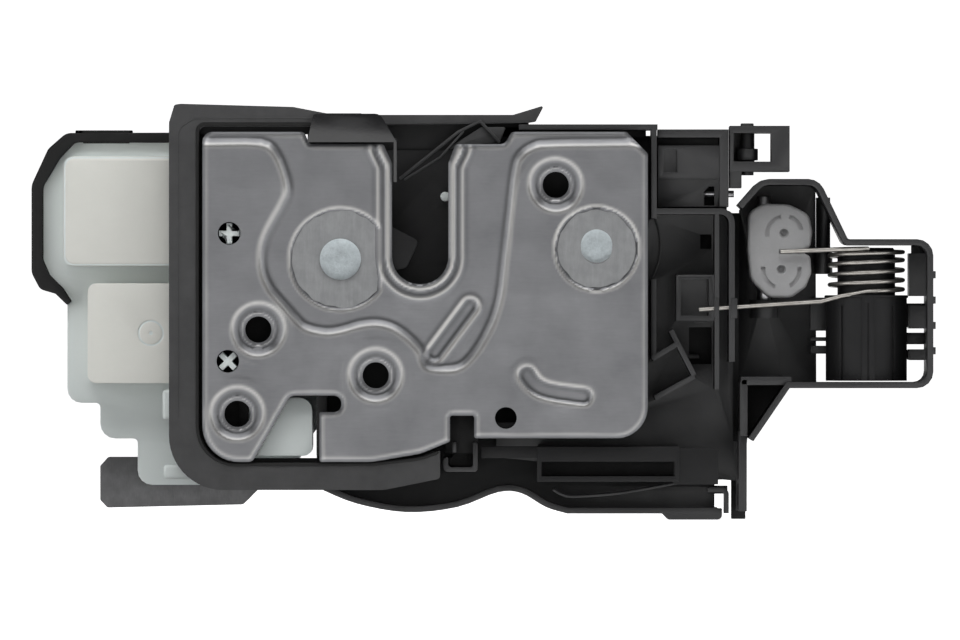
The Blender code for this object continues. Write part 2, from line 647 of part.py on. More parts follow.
def actuator_housing():
    housing = prism("actuator_housing", actuator_flange(), Y_WALL, ACTUATOR_WALL)
    rim = prism("chamber_rim", chamber_outline(0), Y_WALL + 0.5, Y_SPLIT - Y_WALL - 0.5,
                [chamber_outline(CHAMBER_RIM)[::-1]])
    unite(housing, rim)
    right = PLATE_LEFT + 0.8
    for label, (left, low, top) in (("motor", MOTOR_BOX), ("switch", SWITCH_BOX)):
        outline = rounded([(left, low, 2), (left, top, 2), (right, top, 1), (right, low, 1)])
        unite(housing, prism(f"{label}_box", outline, BOX_FRONT, Y_CHAMBER - BOX_FRONT - 0.5))
    foot_top = PLATE_LOBE_BOTTOM + 14.2
    foot = rounded([(-37.0, -12.4, 2), (-23.8, -12.4, 2), (-23.8, foot_top, 3), (-37.0, foot_top, 3)])
    unite(housing, prism("foot", foot, Y_HOUSING + 0.8, Y_CHAMBER - Y_HOUSING - 1.4))
    for index, (x, z) in enumerate(SCREWS):
        unite(housing, drum(f"screw_post_{index}", (x, Y_WALL + 0.6, z), 3.6, Y_SPLIT - Y_WALL - 0.6))
    wall = ACTUATOR_WALL
    for label, (left, low, top) in (("motor", MOTOR_BOX), ("switch", SWITCH_BOX)):
        low_corner = (left + wall, BOX_FRONT + wall, low + wall)
        carve(housing, box(f"{label}_hollow", low_corner, (right - wall, Y_CHAMBER + 0.3, top - wall)))
    carve(housing, box("foot_hollow", (-35.2, Y_HOUSING + 3, -10.6), (-25.6, Y_CHAMBER + 1, foot_top - 1.8)))
    for index, (x, z) in enumerate(SCREWS):
        carve(housing, drum(f"screw_way_{index}", (x, Y_SPLIT - 9, z), SCREW_R + GAP, 10))
    unite(housing, drum("wheel_boss", (WHEEL_X, Y_WALL + 0.6, wheel_z()), 3.6, Y_CHAMBER - Y_WALL + 1.2))
    carve(housing, drum("wheel_pin_bore", (WHEEL_X, Y_CHAMBER - 1.0, wheel_z()), PIN_R + GAP, 6))
    lock_x, lock_z = LOCK_PIVOT
    unite(housing, drum("lock_boss", (lock_x, Y_WALL + 0.6, lock_z), 4.2, Y_CHAMBER - Y_WALL + 3.7))
    carve(housing, drum("lock_pin_bore", (lock_x, Y_CHAMBER - 1.0, lock_z), PIN_R + GAP, 12))
    x, z = LEVER_PIVOT
    carve(housing, drum("lever_pin_bore", (x, Y_WALL - 1, z), LEVER_PIN_R + GAP, 6))
    finish(housing, WHITE)


def wheel_z():
    """Height of the worm wheel's axis below the worm."""
    return MOTOR_AXIS[1] - TEETH * TOOTH_PITCH / math.tau - WORM_R - 0.1


def actuator_cover():
    cover = prism("actuator_cover", chamber_outline(0), Y_COVER, COVER_DEPTH)
    carve(cover, prism("cover_hollow", chamber_outline(CHAMBER_RIM), Y_COVER - 1, COVER_DEPTH - 1))
    for index, (x, z) in enumerate(SCREWS):
        unite(cover, drum(f"cover_post_{index}", (x, Y_COVER + 0.2, z), 3.6, COVER_DEPTH - 0.8))
        carve(cover, drum(f"cover_way_{index}", (x, Y_COVER - 1, z), SCREW_R + GAP, COVER_DEPTH + 2))
    low, high = TERMINAL_Z - 7.6, TERMINAL_Z + 7.6
    left, right = TERMINALS[0] - 5.4, TERMINALS[-1] + 5.4
    outer = rounded([(left, low, 2), (right, low, 2), (right, high, 2), (left, high, 2)])
    unite(cover, prism("connector_shroud", outer, Y_REAR - 1, 13))
    inner = rounded([(left + 1.6, low + 1.6, 1), (right - 1.6, low + 1.6, 1), (right - 1.6, high - 1.6, 1),
                     (left + 1.6, high - 1.6, 1)])
    carve(cover, prism("connector_socket", inner, Y_REAR - 0.3, 14))
    for index, x in enumerate(TERMINALS):
        carve(cover, box(f"terminal_way_{index}", (x - 1.1, Y_REAR - 5, TERMINAL_Z - 0.8),
                         (x + 1.1, Y_REAR + 1, TERMINAL_Z + 0.8)))
    finish(cover, BLACK)


def housing_seal():
    """Rubber strip in the joint round the housing's left side, with its moulded clip."""
    left, top = ACTUATOR_LEFT, ACTUATOR_TOP
    middle = GAP + SEAL_WIDTH / 2
    path = bent([(-46.0, top + middle), (left + 5.0, top + middle, 2), (left - middle, top - 7.6, 3),
                 (left - middle, 28.0, 2), (left + 4.4 - middle / 2, 22.2 - middle / 2, 1),
                 (left + 5.4 - middle, 18.6)])
    finish(prism("housing_seal", strip(path, SEAL_WIDTH), Y_WALL - 2.5, 5.5), RUBBER)
    clip_low = top + GAP + SEAL_WIDTH + GAP
    clip = box("seal_clip", (-74.9, Y_WALL - 1.5, clip_low), (-64.2, Y_WALL + 2.0, clip_low + 0.9))
    finish(clip, BLACK)


def lock_motor():
    y, z = MOTOR_AXIS
    start = PLATE_LEFT + 0.8 - ACTUATOR_WALL - GAP - MOTOR_LENGTH
    can = drum("lock_motor", (start, y, z), MOTOR_R, MOTOR_LENGTH, "X", segments=28)
    flat = MOTOR_R * 0.86
    for side in (-1, 1):
        low = min(side * flat, side * 20)
        carve(can, box(f"motor_flat_{side}", (start - 1, y + low, z - 20),
                       (start + MOTOR_LENGTH + 1, y + low + 20 - flat, z + 20)))
    carve(can, drum("motor_bore", (start + MOTOR_LENGTH - 2.5, y, z), 1.6 + GAP, 4, "X"))
    finish(can, STEEL)


def worm():
    y, z = MOTOR_AXIS
    start = PLATE_LEFT + 0.8 - ACTUATOR_WALL - GAP - 1.8
    screw = drum("worm", (start, y, z), 1.6, WHEEL_X + 14 - start, "X", segments=16)
    length = (WORM_TURNS + 1) * TOOTH_PITCH
    unite(screw, drum("worm_core", (WHEEL_X - length / 2, y, z), WORM_CORE_R, length, "X", segments=14))
    per_turn = 10
    steps = WORM_TURNS * per_turn
    thread = []
    for step in range(steps + 1):
        angle = math.tau * (step - steps / 2) / per_turn
        x = WHEEL_X + TOOTH_PITCH * (step - steps / 2) / per_turn
        thread.append((x, y - WORM_R * math.sin(angle), z - WORM_R * math.cos(angle)))
    unite(screw, wire("worm_thread", thread, WORM_THREAD_R, 1))
    finish(screw, WHITE, (start, y, z))


def worm_wheel():
    z = wheel_z()
    radius = TEETH * TOOTH_PITCH / math.tau
    outline = []
    for tooth in range(TEETH):
        middle = math.tau * (tooth + 0.5) / TEETH + math.pi / 2
        for half, reach in ((0.088, -1.0), (0.036, 0.45), (-0.036, 0.45), (-0.088, -1.0)):
            angle = middle - half
            rim = radius + reach
            outline.append((WHEEL_X + rim * math.cos(angle), z + rim * math.sin(angle)))
    front = MOTOR_AXIS[0] - WHEEL_FACE / 2
    wheel = prism("worm_wheel", outline, front, WHEEL_FACE)
    unite(wheel, drum("wheel_hub", (WHEEL_X, front - 0.2, z), 4.0, WHEEL_FACE + 3))
    carve(wheel, drum("wheel_bore", (WHEEL_X, front - 2, z), PIN_R + GAP, 12))
    finish(wheel, WHITE, (WHEEL_X, front, z))
    pin = drum("wheel_pin", (WHEEL_X, Y_CHAMBER - 0.7, z), PIN_R, 11, segments=16)
    finish(pin, STEEL)


def lock_lever():
    """Lever swung by the wheel, which carries the lock's motion to the toggle."""
    x, z = LOCK_PIVOT
    front = Y_CHAMBER + 4.6
    outline = rounded([(x + 5, z + 5, 4), (x + 2.6, z + 18, 2), (x - 2.6, z + 18, 2), (x - 4.6, z + 4.6, 2),
                       (x - 12.6, z + 2.2, 1.6), (x - 12.6, z - 2.2, 1.6), (x - 4.6, z - 4.6, 3),
                       (x + 5, z - 5, 4)])
    lever = prism("lock_lever", outline, front, 3, [circle((x, z), PIN_R + GAP, 16)])
    finish(lever, BLACK, (x, front, z))
    finish(drum("lock_lever_pin", (x, Y_CHAMBER - 0.7, z), PIN_R, 10.6, segments=16), STEEL)


def lock_switch():
    left, low, _ = SWITCH_BOX
    x = left + 8
    z = low + ACTUATOR_WALL + GAP
    y = BOX_FRONT + ACTUATOR_WALL + GAP
    switch = box("lock_switch", (x, y, z), (x + 12, y + 6.4, z + 11))
    carve(switch, box("plunger_way", (x + 3.6, y + 1.6, z + 5), (x + 6.4, y + 4.4, z + 12)))
    finish(switch, BLACK, soft_edges=False)
    plunger = box("switch_plunger", (x + 3.9, y + 1.9, z + 7.5), (x + 6.1, y + 4.1, z + 13.0))
    finish(plunger, WHITE, soft_edges=False)


def electrics():
    """Conductor plate against the cover's posts and the terminals that pass through the cover."""
    back = Y_REAR - 6.0
    outline = rounded([(-73.4, 9.5, 1), (-52, 9.5, 1), (-52, 50, 1), (-76.5, 50, 1), (-76.5, 28, 1),
                       (-73.4, 24, 1)])
    finish(prism("lead_frame", outline, back - 1.2, 0.9), BRASS)
    for index, x in enumerate(TERMINALS):
        blade = box(f"terminal_{index + 1}", (x - 0.8, back, TERMINAL_Z - 0.4),
                    (x + 0.8, Y_REAR + 4, TERMINAL_Z + 0.4))
        finish(blade, BRASS, soft_edges=False)


def cover_screws():
    for index, (x, z) in enumerate(SCREWS):
        head = Y_REAR + GAP
        profile = [(0, head + 1.8), (SCREW_HEAD_R - 0.8, head + 1.8), (SCREW_HEAD_R, head + 1.0),
                   (SCREW_HEAD_R, head), (SCREW_R, head), (SCREW_R, Y_SPLIT - 7), (0, Y_SPLIT - 8)]
        finish(turned(f"cover_screw_{index + 1}", profile, (x, 0, z), segments=16), STEEL)


# ---------------------------------------------------------------- release lever
def release_lever():
    x, z = LEVER_PIVOT
    front = Y_CHAMBER + 0.4
    outline = rounded([(x - 29.2, z - 3.8, 2), (x - 14, z - 3.8, 4), (x - 7, z + 3.6, 4), (x + 3, z + 5.6, 4),
                       (x + 6.6, z - 2, 3), (x + 4.0, z - 11.0, 1), (x - 0.8, z - 14.3, 1),
                       (x - 26.5, z - 15.1, 1), (x - 29.2, z - 13.2, 1)])
    bore = circle(LEVER_PIVOT, LEVER_PIN_R + GAP, 16)
    lever = prism("outer_release_lever", outline, front, LEVER_SHEET, [bore])
    carve(lever, drum("cable_eye", (x - 21, front - 2, z - 9.5), 2.4, 8, segments=16))
    finish(lever, STEEL, (x, front, z))
    tail = front + LEVER_SHEET + 5.3
    profile = [(0, tail + 1), (3.6, tail + 1), (3.6, tail), (LEVER_PIN_R, tail), (LEVER_PIN_R, Y_WALL - GAP),
               (3.6, Y_WALL - GAP), (3.6, Y_WALL - 1.3), (0, Y_WALL - 1.3)]
    finish(turned("lever_pin", profile, (x, 0, z), segments=20), ZINC)
    coil_spring("lever_spring", LEVER_PIVOT, front + LEVER_SHEET + 0.4, 3.1, 0.45, 3, ((0, -6), (0, -6)))


# ---------------------------------------------------------------- carrier
def carrier_frame():
    """Black carrier behind and to the right of the plate."""
    r, top, low = PLATE_RIGHT, PLATE_TOP, PLATE_BOTTOM
    front = CARRIER_FRONT
    deep = Y_WALL + 0.2 - front
    wall = prism("carrier_frame", rounded([(CARRIER_LEFT, top - 0.6), (r + 17.8, top - 0.6), (r + 17.8, 41.9),
                                           (r + 19.2, 41.9, 1.5), (r + 19.2, -9.4), (r + 22.0, -9.4),
                                           (r + 22.0, low - 16.2, 2), (r + 19.8, low - 16.2),
                                           (r + 19.8, low - 9.6), (CARRIER_LEFT, low - 4.4)]), Y_WALL, 2.0)
    top_wall = box("carrier_top", (CARRIER_LEFT + 5, front, top + 0.5), (r + 2.2, Y_WALL + 1, top + 1.7))
    side = box("carrier_side", (r + 0.8, front - 1, 40.0), (r + 2.0, Y_WALL + 1, top + 1.6))
    shelf = strip(bent([(r + 1.2, 41.6), (r + 18.6, 41.6, 2.5), (r + 18.6, 8.4)]), 1.3)
    inner = box("carrier_inner_wall", (r + 14.8, front, 2.3), (r + 15.8, Y_WALL + 1, 41.2))
    outer = box("carrier_outer_wall", (r + 20.2, front + 4, low - 16.2), (r + 22.0, Y_WALL + 1, -7.0))
    unite(wall, top_wall, side, prism("carrier_shelf", shelf, front, deep), inner, outer)
    ribs = (((r + 1.0, 9.0), (r + 6.7, 12.4)), ((r + 5.2, 15.3), (r + 10.3, 5.4)),
            ((r + 1.6, 0.4), (r + 10.4, 5.2)), ((r + 1.4, 26.6), (r + 1.4, 8.8)))
    for index, ends in enumerate(ribs):
        unite(wall, prism(f"carrier_rib_{index}", strip(list(ends), 1.1), front + 1 + index * 0.3,
                          deep - 1 - index * 0.3))
    unite(wall, box("carrier_pad", (r + 6.4, front + 5, 17.4), (r + 14.9, Y_WALL + 1, 27.6)))
    carve(wall, box("carrier_pad_recess", (r + 7.4, front + 4, 18.6), (r + 13.6, front + 9, 26.6)))
    carve(wall, box("carrier_window", (r + 9.4, Y_WALL - 1, 7.8), (r + 14.4, Y_WALL + 4, 16.0)))
    carve(wall, box("carrier_square_hole", (r + 11.9, Y_WALL - 1, 33.4), (r + 14.4, Y_WALL + 4, 36.6)))
    wire_y = SPRING_Y - SPRING_COIL_R
    carve(wall, box("wire_slot", (r + 13.0, wire_y - 0.9, 19.0), (r + 21.0, wire_y + 1.2, 21.6)))
    finish(wall, BLACK)


def link_guide():
    """Panels at the upper right that guide the lock link."""
    r, top = PLATE_RIGHT, PLATE_TOP
    back = Y_WALL - GAP
    front = CARRIER_FRONT + 2.5
    left = r + 2.3
    guide = box("link_guide", (left, front, 48.8), (r + 16.9, back, 56.2))
    lower = box("guide_lower_panel", (left, front + 2.2, 42.6), (r + 16.4, back, 49.0))
    post = box("guide_post", (r + 15.9, front - 1.5, 42.6), (r + 17.9, back, top + 0.6))
    rail = box("guide_rail", (left, front - 1.5, top - 1.2), (r + 17.6, back, top + 0.6))
    rear = box("guide_rear", (left, back - 2, 48.9), (r + 17.0, back, top - 0.6))
    unite(guide, lower, post, rail, rear)
    carve(guide, prism("link_window", rounded([(r + 12.6, 42.9), (r + 14.8, 42.9), (r + 14.8, 47.1),
                                               (r + 13.6, 47.1), (r + 12.6, 46.0)]), 0, back + 2))
    carve(guide, box("clip_recess", (left + 1.3, front - 1, 50.2), (left + 4.2, front + 1.5, 55.2)))
    carve(guide, drum("link_pin_bore", (r + 11, KEY_Y + 1, LINK_PIN_Z), LINK_PIN_R + GAP, 10, "X",
                      segments=16))
    finish(guide, BLACK, soft_edges=False)
    pin = drum("link_pin", (r + 11.4, KEY_Y + 1, LINK_PIN_Z), LINK_PIN_R, 7.8, "X", segments=16)
    finish(pin, SPRING_STEEL)


def key_bracket():
    """Bracket that carries the key shaft on an upright axis."""
    r, top = PLATE_RIGHT, PLATE_TOP
    front = CARRIER_FRONT + 1.0
    back = Y_WALL - GAP
    left = r + 18.2
    bracket = box("key_bracket", (left, front, 50.4), (r + 31.4, back, top + 1.4))
    unite(bracket, box("bracket_leg", (left, front + 1, 46.8), (left + 2.6, back, 51)))
    carve(bracket, box("bracket_window", (r + 23.8, 0, 52.6), (r + 27.4, Y_WALL + 1, top - 0.2)))
    carve(bracket, box("shaft_window", (KEY_X - KEY_COLLAR_R - 0.7, 0, 52.6),
                       (r + 24.2, KEY_Y + KEY_COLLAR_R + 0.7, top - 0.2)))
    carve(bracket, drum("shaft_bore", (KEY_X, KEY_Y, 46), KEY_R + GAP, 20, "Z"))
    finish(bracket, BLACK, soft_edges=False)
    low, high = 49.6, top + 2.0
    collar = 52.6 + GAP
    profile = [(0, high), (KEY_R, high), (KEY_R, collar + 2.6), (KEY_COLLAR_R, collar + 2.6),
               (KEY_COLLAR_R, collar), (KEY_R, collar), (KEY_R, low), (0, low)]
    shaft = turned("key_shaft", profile, (KEY_X, KEY_Y, 0), "Z")
    finish(shaft, BLACK)


def arm_path():
    """Middle of the arm's outer wall, from the arch round to the diagonal web."""
    r = PLATE_RIGHT
    reach = r + ARM_REACH
    return bent([(r + 20.4, 42.6), (r + 25.2, 48.1, 3.5), (r + 37.4, 48.1, 3.2), (r + 43.8, 34.8, 1.2),
                 (reach, 34.8, 3), (reach, 3.2, 3), (r + 31.0, 3.2), (r + 22.8, -8.8)])


def carrier_arm():
    r = PLATE_RIGHT
    reach = r + ARM_REACH
    front = CARRIER_FRONT - 1
    back = front + ARM_DEPTH
    backing = rounded([(r + 20.6, 3.0), (r + 20.6, 42.0), (r + 25.5, 47.8), (r + 37.6, 47.9),
                       (r + 37.8, 3.0)])
    arm = prism("carrier_arm", backing, back - 1.8, 1.6)
    unite(arm, prism("arm_wall", strip(arm_path(), CARRIER_WALL), front, ARM_DEPTH))
    web = rounded([(r + 20.6, 3.4), (r + 31.4, 3.4), (r + 22.9, -8.6), (r + 20.6, -8.6)])
    unite(arm, prism("arm_web", web, back - 2.0, 1.7))
    for index, (low, high) in enumerate(((22.9, 32.4), (15.7, 20.8), (8.7, 11.1))):
        unite(arm, box(f"arm_bar_{index}", (reach - 4.3, SPRING_Y - 1, low), (reach - 0.2, back - 0.1, high)))
    post = drum("arm_post", (r + 39.2, SPRING_Y + 6.2, 27.8), 1.6, 17.0, "Z", segments=16)
    unite(arm, post, drum("arm_post_collar", (r + 39.2, SPRING_Y + 6.2, 27.9), 2.1, 5.8, "Z", segments=16))
    for index in range(4):
        low = 10.0 + index * 5.6
        tooth_end = reach + CARRIER_WALL / 2 + 0.6
        unite(arm, box(f"arm_tooth_{index}", (reach, front + 2, low), (tooth_end, back - 2, low + 1.6)))
    pin_y = SPRING_Y + 4.0
    unite(arm, drum("toggle_pin_boss_low", (TOGGLE_PIN_X, pin_y, 18.0), 3.2, 4.0, "Z"),
          box("toggle_pin_rib", (TOGGLE_PIN_X - 1.2, pin_y, 18.1), (TOGGLE_PIN_X + 1.2, back - 0.4, 21.9)))
    carve(arm, drum("toggle_pin_bore", (TOGGLE_PIN_X, pin_y, 19.5), TOGGLE_PIN_R + GAP, 4, "Z", segments=16))
    finish(arm, BLACK)


def spring_post():
    core_top = 33.6
    profile = [(0, core_top), (POST_CORE_R - 0.6, core_top), (POST_CORE_R, core_top - 0.6),
               (POST_CORE_R, POST_TOP),
               (POST_R, POST_TOP), (POST_R, 3.2 + CARRIER_WALL / 2 + GAP), (0, 3.2 + CARRIER_WALL / 2 + GAP)]
    finish(turned("spring_post", profile, (SPRING_X, SPRING_Y, 0), "Z", segments=28), BLACK)


def toggle_spring():
    """Torsion spring round the post, one leg to the toggle and one to the carrier."""
    per_turn = 12
    start = POST_TOP + GAP + SPRING_WIRE_R
    top = 32.6
    front = SPRING_Y - SPRING_COIL_R
    path = [(PLATE_RIGHT + 11.2, front, 19.9), (PLATE_RIGHT + 39.4, front, 21.4),
            (SPRING_X - 5.6, front, start)]
    steps = SPRING_TURNS * per_turn
    for step in range(steps + 1):
        angle = math.tau * step / per_turn
        path.append((SPRING_X + SPRING_COIL_R * math.sin(angle), SPRING_Y - SPRING_COIL_R * math.cos(angle),
                     start + (top - start) * step / steps))
    path.append((TOGGLE_PIN_X + 4.0, front, top))
    finish(wire("toggle_spring", path, SPRING_WIRE_R, 1), SPRING_STEEL)


def lock_toggle():
    """Two-lobed cam rocked on an upright pin, its notch under the spring's upper leg."""
    r = PLATE_RIGHT
    outline = rounded([(r + 22.0, 24.6, 3), (r + 25.6, 22.4, 3), (r + 33.6, 22.4, 4), (r + 37.2, 27.6, 4),
                       (r + 34.9, 32.6, 2.5), (r + 37.2, 38.0, 4), (r + 33.2, 42.4, 4), (r + 26.6, 43.8, 4),
                       (r + 22.4, 41.0, 4)])
    front = SPRING_Y - SPRING_COIL_R + 1.6
    toggle = prism("lock_toggle", outline, front, 12.4)
    pin_y = SPRING_Y + 4.0
    for index, z in enumerate((28.6, 36.6)):
        carve(toggle, drum(f"toggle_mark_{index}", (r + 29.8, front - 1, z), 0.9, 2.2, segments=12))
    carve(toggle, drum("toggle_bore", (TOGGLE_PIN_X, pin_y, 20), TOGGLE_PIN_R + GAP, 26, "Z", segments=16))
    finish(toggle, GREY, (TOGGLE_PIN_X, pin_y, 0))
    finish(drum("toggle_pin", (TOGGLE_PIN_X, pin_y, 19.8), TOGGLE_PIN_R, 25.2, "Z", segments=16), STEEL)


def lower_rim():
    """Curved lower edge of the cover, two bows and a straight run."""
    r = PLATE_RIGHT
    return [*smooth([(-21.9, -19.2), (-14.0, -22.4), (-3.0, -24.3), (8.0, -23.2), (17.0, -19.9),
                     (22.5, -20.1),
                     (28.0, -23.2), (32.6, -24.6)], 4), (r + 15.6, -24.6)]


def lower_cover():
    r = PLATE_RIGHT
    rim = lower_rim()
    back_top = -5.4
    plate = [(rim[1][0], back_top), *rim[1:-1], (rim[-1][0] - 0.5, rim[-1][1]), (rim[-1][0] - 0.5, back_top)]
    y_back = Y_CHAMBER + 0.3
    cover = prism("lower_cover", plate, y_back, 1.6)
    front = Y_FLOOR - 1.6
    unite(cover, prism("cover_rim", strip(rim, 1.3), front, y_back + 1.4 - front))
    unite(cover, prism("cover_lip", rounded([(r + 2.2, -24.2), (r + 4.6, -26.6, 1), (r + 16.6, -26.6, 1),
                                             (r + 16.6, -24.2)]), front + 0.4, y_back - front + 0.7))
    hook = strip(bent([(r + 13.4, -20.0), (r + 17.6, -20.0, 1), (r + 17.6, -25.2)]), 1.0)
    unite(cover, prism("cable_hook", hook, front + 0.8, y_back - front + 0.3),
          box("cable_hook_root", (r + 12.4, y_back + 0.2, -21), (r + 18.0, y_back + 1.3, -19.2)))
    finish(cover, BLACK)


def lower_guide():
    """Channel below the plate that guides the inside-release link."""
    r, low = PLATE_RIGHT, PLATE_BOTTOM
    top = low - 1.8
    front = CARRIER_FRONT
    back = Y_WALL - GAP
    left = CARRIER_LEFT + 9.0
    guide = box("lower_guide", (left, front, low - 9.6), (r + 7.0, back, top))
    carve(guide, box("guide_channel", (left + 1.0, front - 1, low - 8.4), (r + 6.0, back - 2, top - 3.4)))
    arm = box("lower_guide_rail", (left - 12.4, front + 1.5, low - 4.4), (left + 1, front + 3, top))
    foot = box("lower_guide_wall", (r + 5.8, front + 0.6, low - 10.2), (r + 15.6, front + 2.4, low - 2.2))
    unite(guide, arm, foot)
    finish(guide, BLACK, soft_edges=False)


def pocket_box():
    """Open pocket under the plate's lower notch, round the drain."""
    low = PLATE_BOTTOM
    outer = rounded([(4.9, low - 4.2, 0.8), (4.9, low - 7.4, 1.2), (12.7, low - 7.4, 0.8),
                     (12.7, low - 0.9, 0.5), (7.0, low - 0.9), (7.0, low - 4.2)])
    inner = rounded([(6.2, low - 6.4, 0.8), (11.6, low - 6.4, 0.6), (11.6, low), (8.0, low),
                     (8.0, low - 3.2), (6.2, low - 3.2)])
    pocket = prism("notch_pocket", outer, Y_HOUSING + 0.6, Y_CHAMBER - Y_HOUSING - 0.9)
    carve(pocket, prism("pocket_hollow", inner, 0, Y_CHAMBER - 3))
    finish(pocket, BLACK)


def main():
    face_plate()
    rivet("catch_rivet", CATCH_PIVOT)
    rivet("pawl_rivet", PAWL_PIVOT)
    for label, (x, z, turn) in zip(("upper", "lower"), PLATE_PINS):
        plate_pin(f"plate_pin_{label}", x, z, turn)
    catch()
    pawl()
    coil_spring("catch_spring", CATCH_PIVOT, Y_SPRING, 4.6, 0.5, 1.5, ((0, -10), (0, 8)))
    coil_spring("pawl_spring", PAWL_PIVOT, Y_SPRING, 4.6, 0.5, 1.5, ((0, -10), (0, 8)))
    latch_housing()
    striker_bumper()
    back_plate()
    plate_gasket()
    mouth_guide()
    mouth_flap()
    guide_pin()
    actuator_housing()
    actuator_cover()
    housing_seal()
    lock_motor()
    worm()
    worm_wheel()
    lock_lever()
    lock_switch()
    electrics()
    cover_screws()
    release_lever()
    carrier_frame()
    link_guide()
    key_bracket()
    carrier_arm()
    spring_post()
    toggle_spring()
    lock_toggle()
    lower_cover()
    lower_guide()
    pocket_box()
    for cutter in CUTTERS.objects:
        cutter.hide_render = True
        cutter.display_type = "WIRE"


main()
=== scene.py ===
"""Studio scene of a vehicle side-door latch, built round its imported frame.

Every sub-assembly is a class: its fields are sizes in millimetres, its methods build and dress meshes.
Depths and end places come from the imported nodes' boxes. Outlines are in the same frame, in millimetres.
"""
import logging
import math
from dataclasses import dataclass, field, replace
from enum import Enum
from typing import Iterable, Sequence

import bpy
import numpy as np
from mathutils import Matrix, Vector, noise


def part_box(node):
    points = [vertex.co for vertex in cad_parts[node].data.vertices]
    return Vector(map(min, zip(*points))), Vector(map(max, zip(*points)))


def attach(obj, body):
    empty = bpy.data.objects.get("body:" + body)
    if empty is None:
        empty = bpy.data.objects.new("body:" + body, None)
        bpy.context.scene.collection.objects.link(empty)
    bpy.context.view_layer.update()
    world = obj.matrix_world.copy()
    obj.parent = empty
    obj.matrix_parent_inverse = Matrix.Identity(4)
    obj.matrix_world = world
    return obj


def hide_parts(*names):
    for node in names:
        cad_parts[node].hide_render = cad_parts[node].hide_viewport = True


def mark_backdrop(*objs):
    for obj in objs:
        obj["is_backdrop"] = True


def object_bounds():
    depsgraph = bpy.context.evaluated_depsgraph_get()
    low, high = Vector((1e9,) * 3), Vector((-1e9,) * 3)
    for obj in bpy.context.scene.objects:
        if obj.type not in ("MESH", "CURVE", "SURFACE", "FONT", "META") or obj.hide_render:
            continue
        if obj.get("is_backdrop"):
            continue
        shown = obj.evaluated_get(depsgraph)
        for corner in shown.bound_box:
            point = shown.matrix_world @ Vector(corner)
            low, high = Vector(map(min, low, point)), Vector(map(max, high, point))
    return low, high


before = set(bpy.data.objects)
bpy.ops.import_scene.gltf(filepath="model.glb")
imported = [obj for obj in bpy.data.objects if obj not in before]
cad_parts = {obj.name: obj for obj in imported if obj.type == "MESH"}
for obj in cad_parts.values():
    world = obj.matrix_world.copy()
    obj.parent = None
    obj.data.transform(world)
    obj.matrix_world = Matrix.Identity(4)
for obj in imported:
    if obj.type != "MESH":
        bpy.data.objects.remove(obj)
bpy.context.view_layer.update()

MM = 0.001
LOG = logging.getLogger("side_door_latch")
Point = tuple[float, ...]
Path2D = list[tuple[float, float]]
Piece = bpy.types.Object
Tree, Socket, Node = bpy.types.NodeTree, bpy.types.NodeSocket, bpy.types.Node


class Way(Enum):
    """Direction in which a flat outline is thickened or a round piece runs."""

    ACROSS = "X"
    DEEP = "Y"
    UP = "Z"

    @property
    def axis(self) -> Vector:
        """Unit vector along the way."""
        return Vector([float(self.value == letter) for letter in "XYZ"])


class Slot(Enum):
    """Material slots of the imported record."""

    PLATE_STEEL = "plate_steel"
    RIVET_ZINC = "rivet_zinc"
    DARK_STEEL = "dark_steel"
    SPRING_STEEL = "spring_steel"
    BRASS = "terminal_brass"
    BLACK = "black_plastic"
    GLOSS_BLACK = "gloss_black"
    RUBBER = "gasket_rubber"
    WHITE = "white_plastic"
    GREY = "grey_plastic"


def box_mm(node: str) -> tuple[Vector, Vector]:
    """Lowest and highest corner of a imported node, in millimetres."""
    low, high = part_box(node)
    return low / MM, high / MM


def oblong(left: float, low: float, right: float, high: float) -> list[Point]:
    """Corners of an upright rectangle."""
    return [(left, low), (left, high), (right, high), (right, low)]


# ------------------------------------------------------------------ finishes
GLOW_DEPTH = 0.002


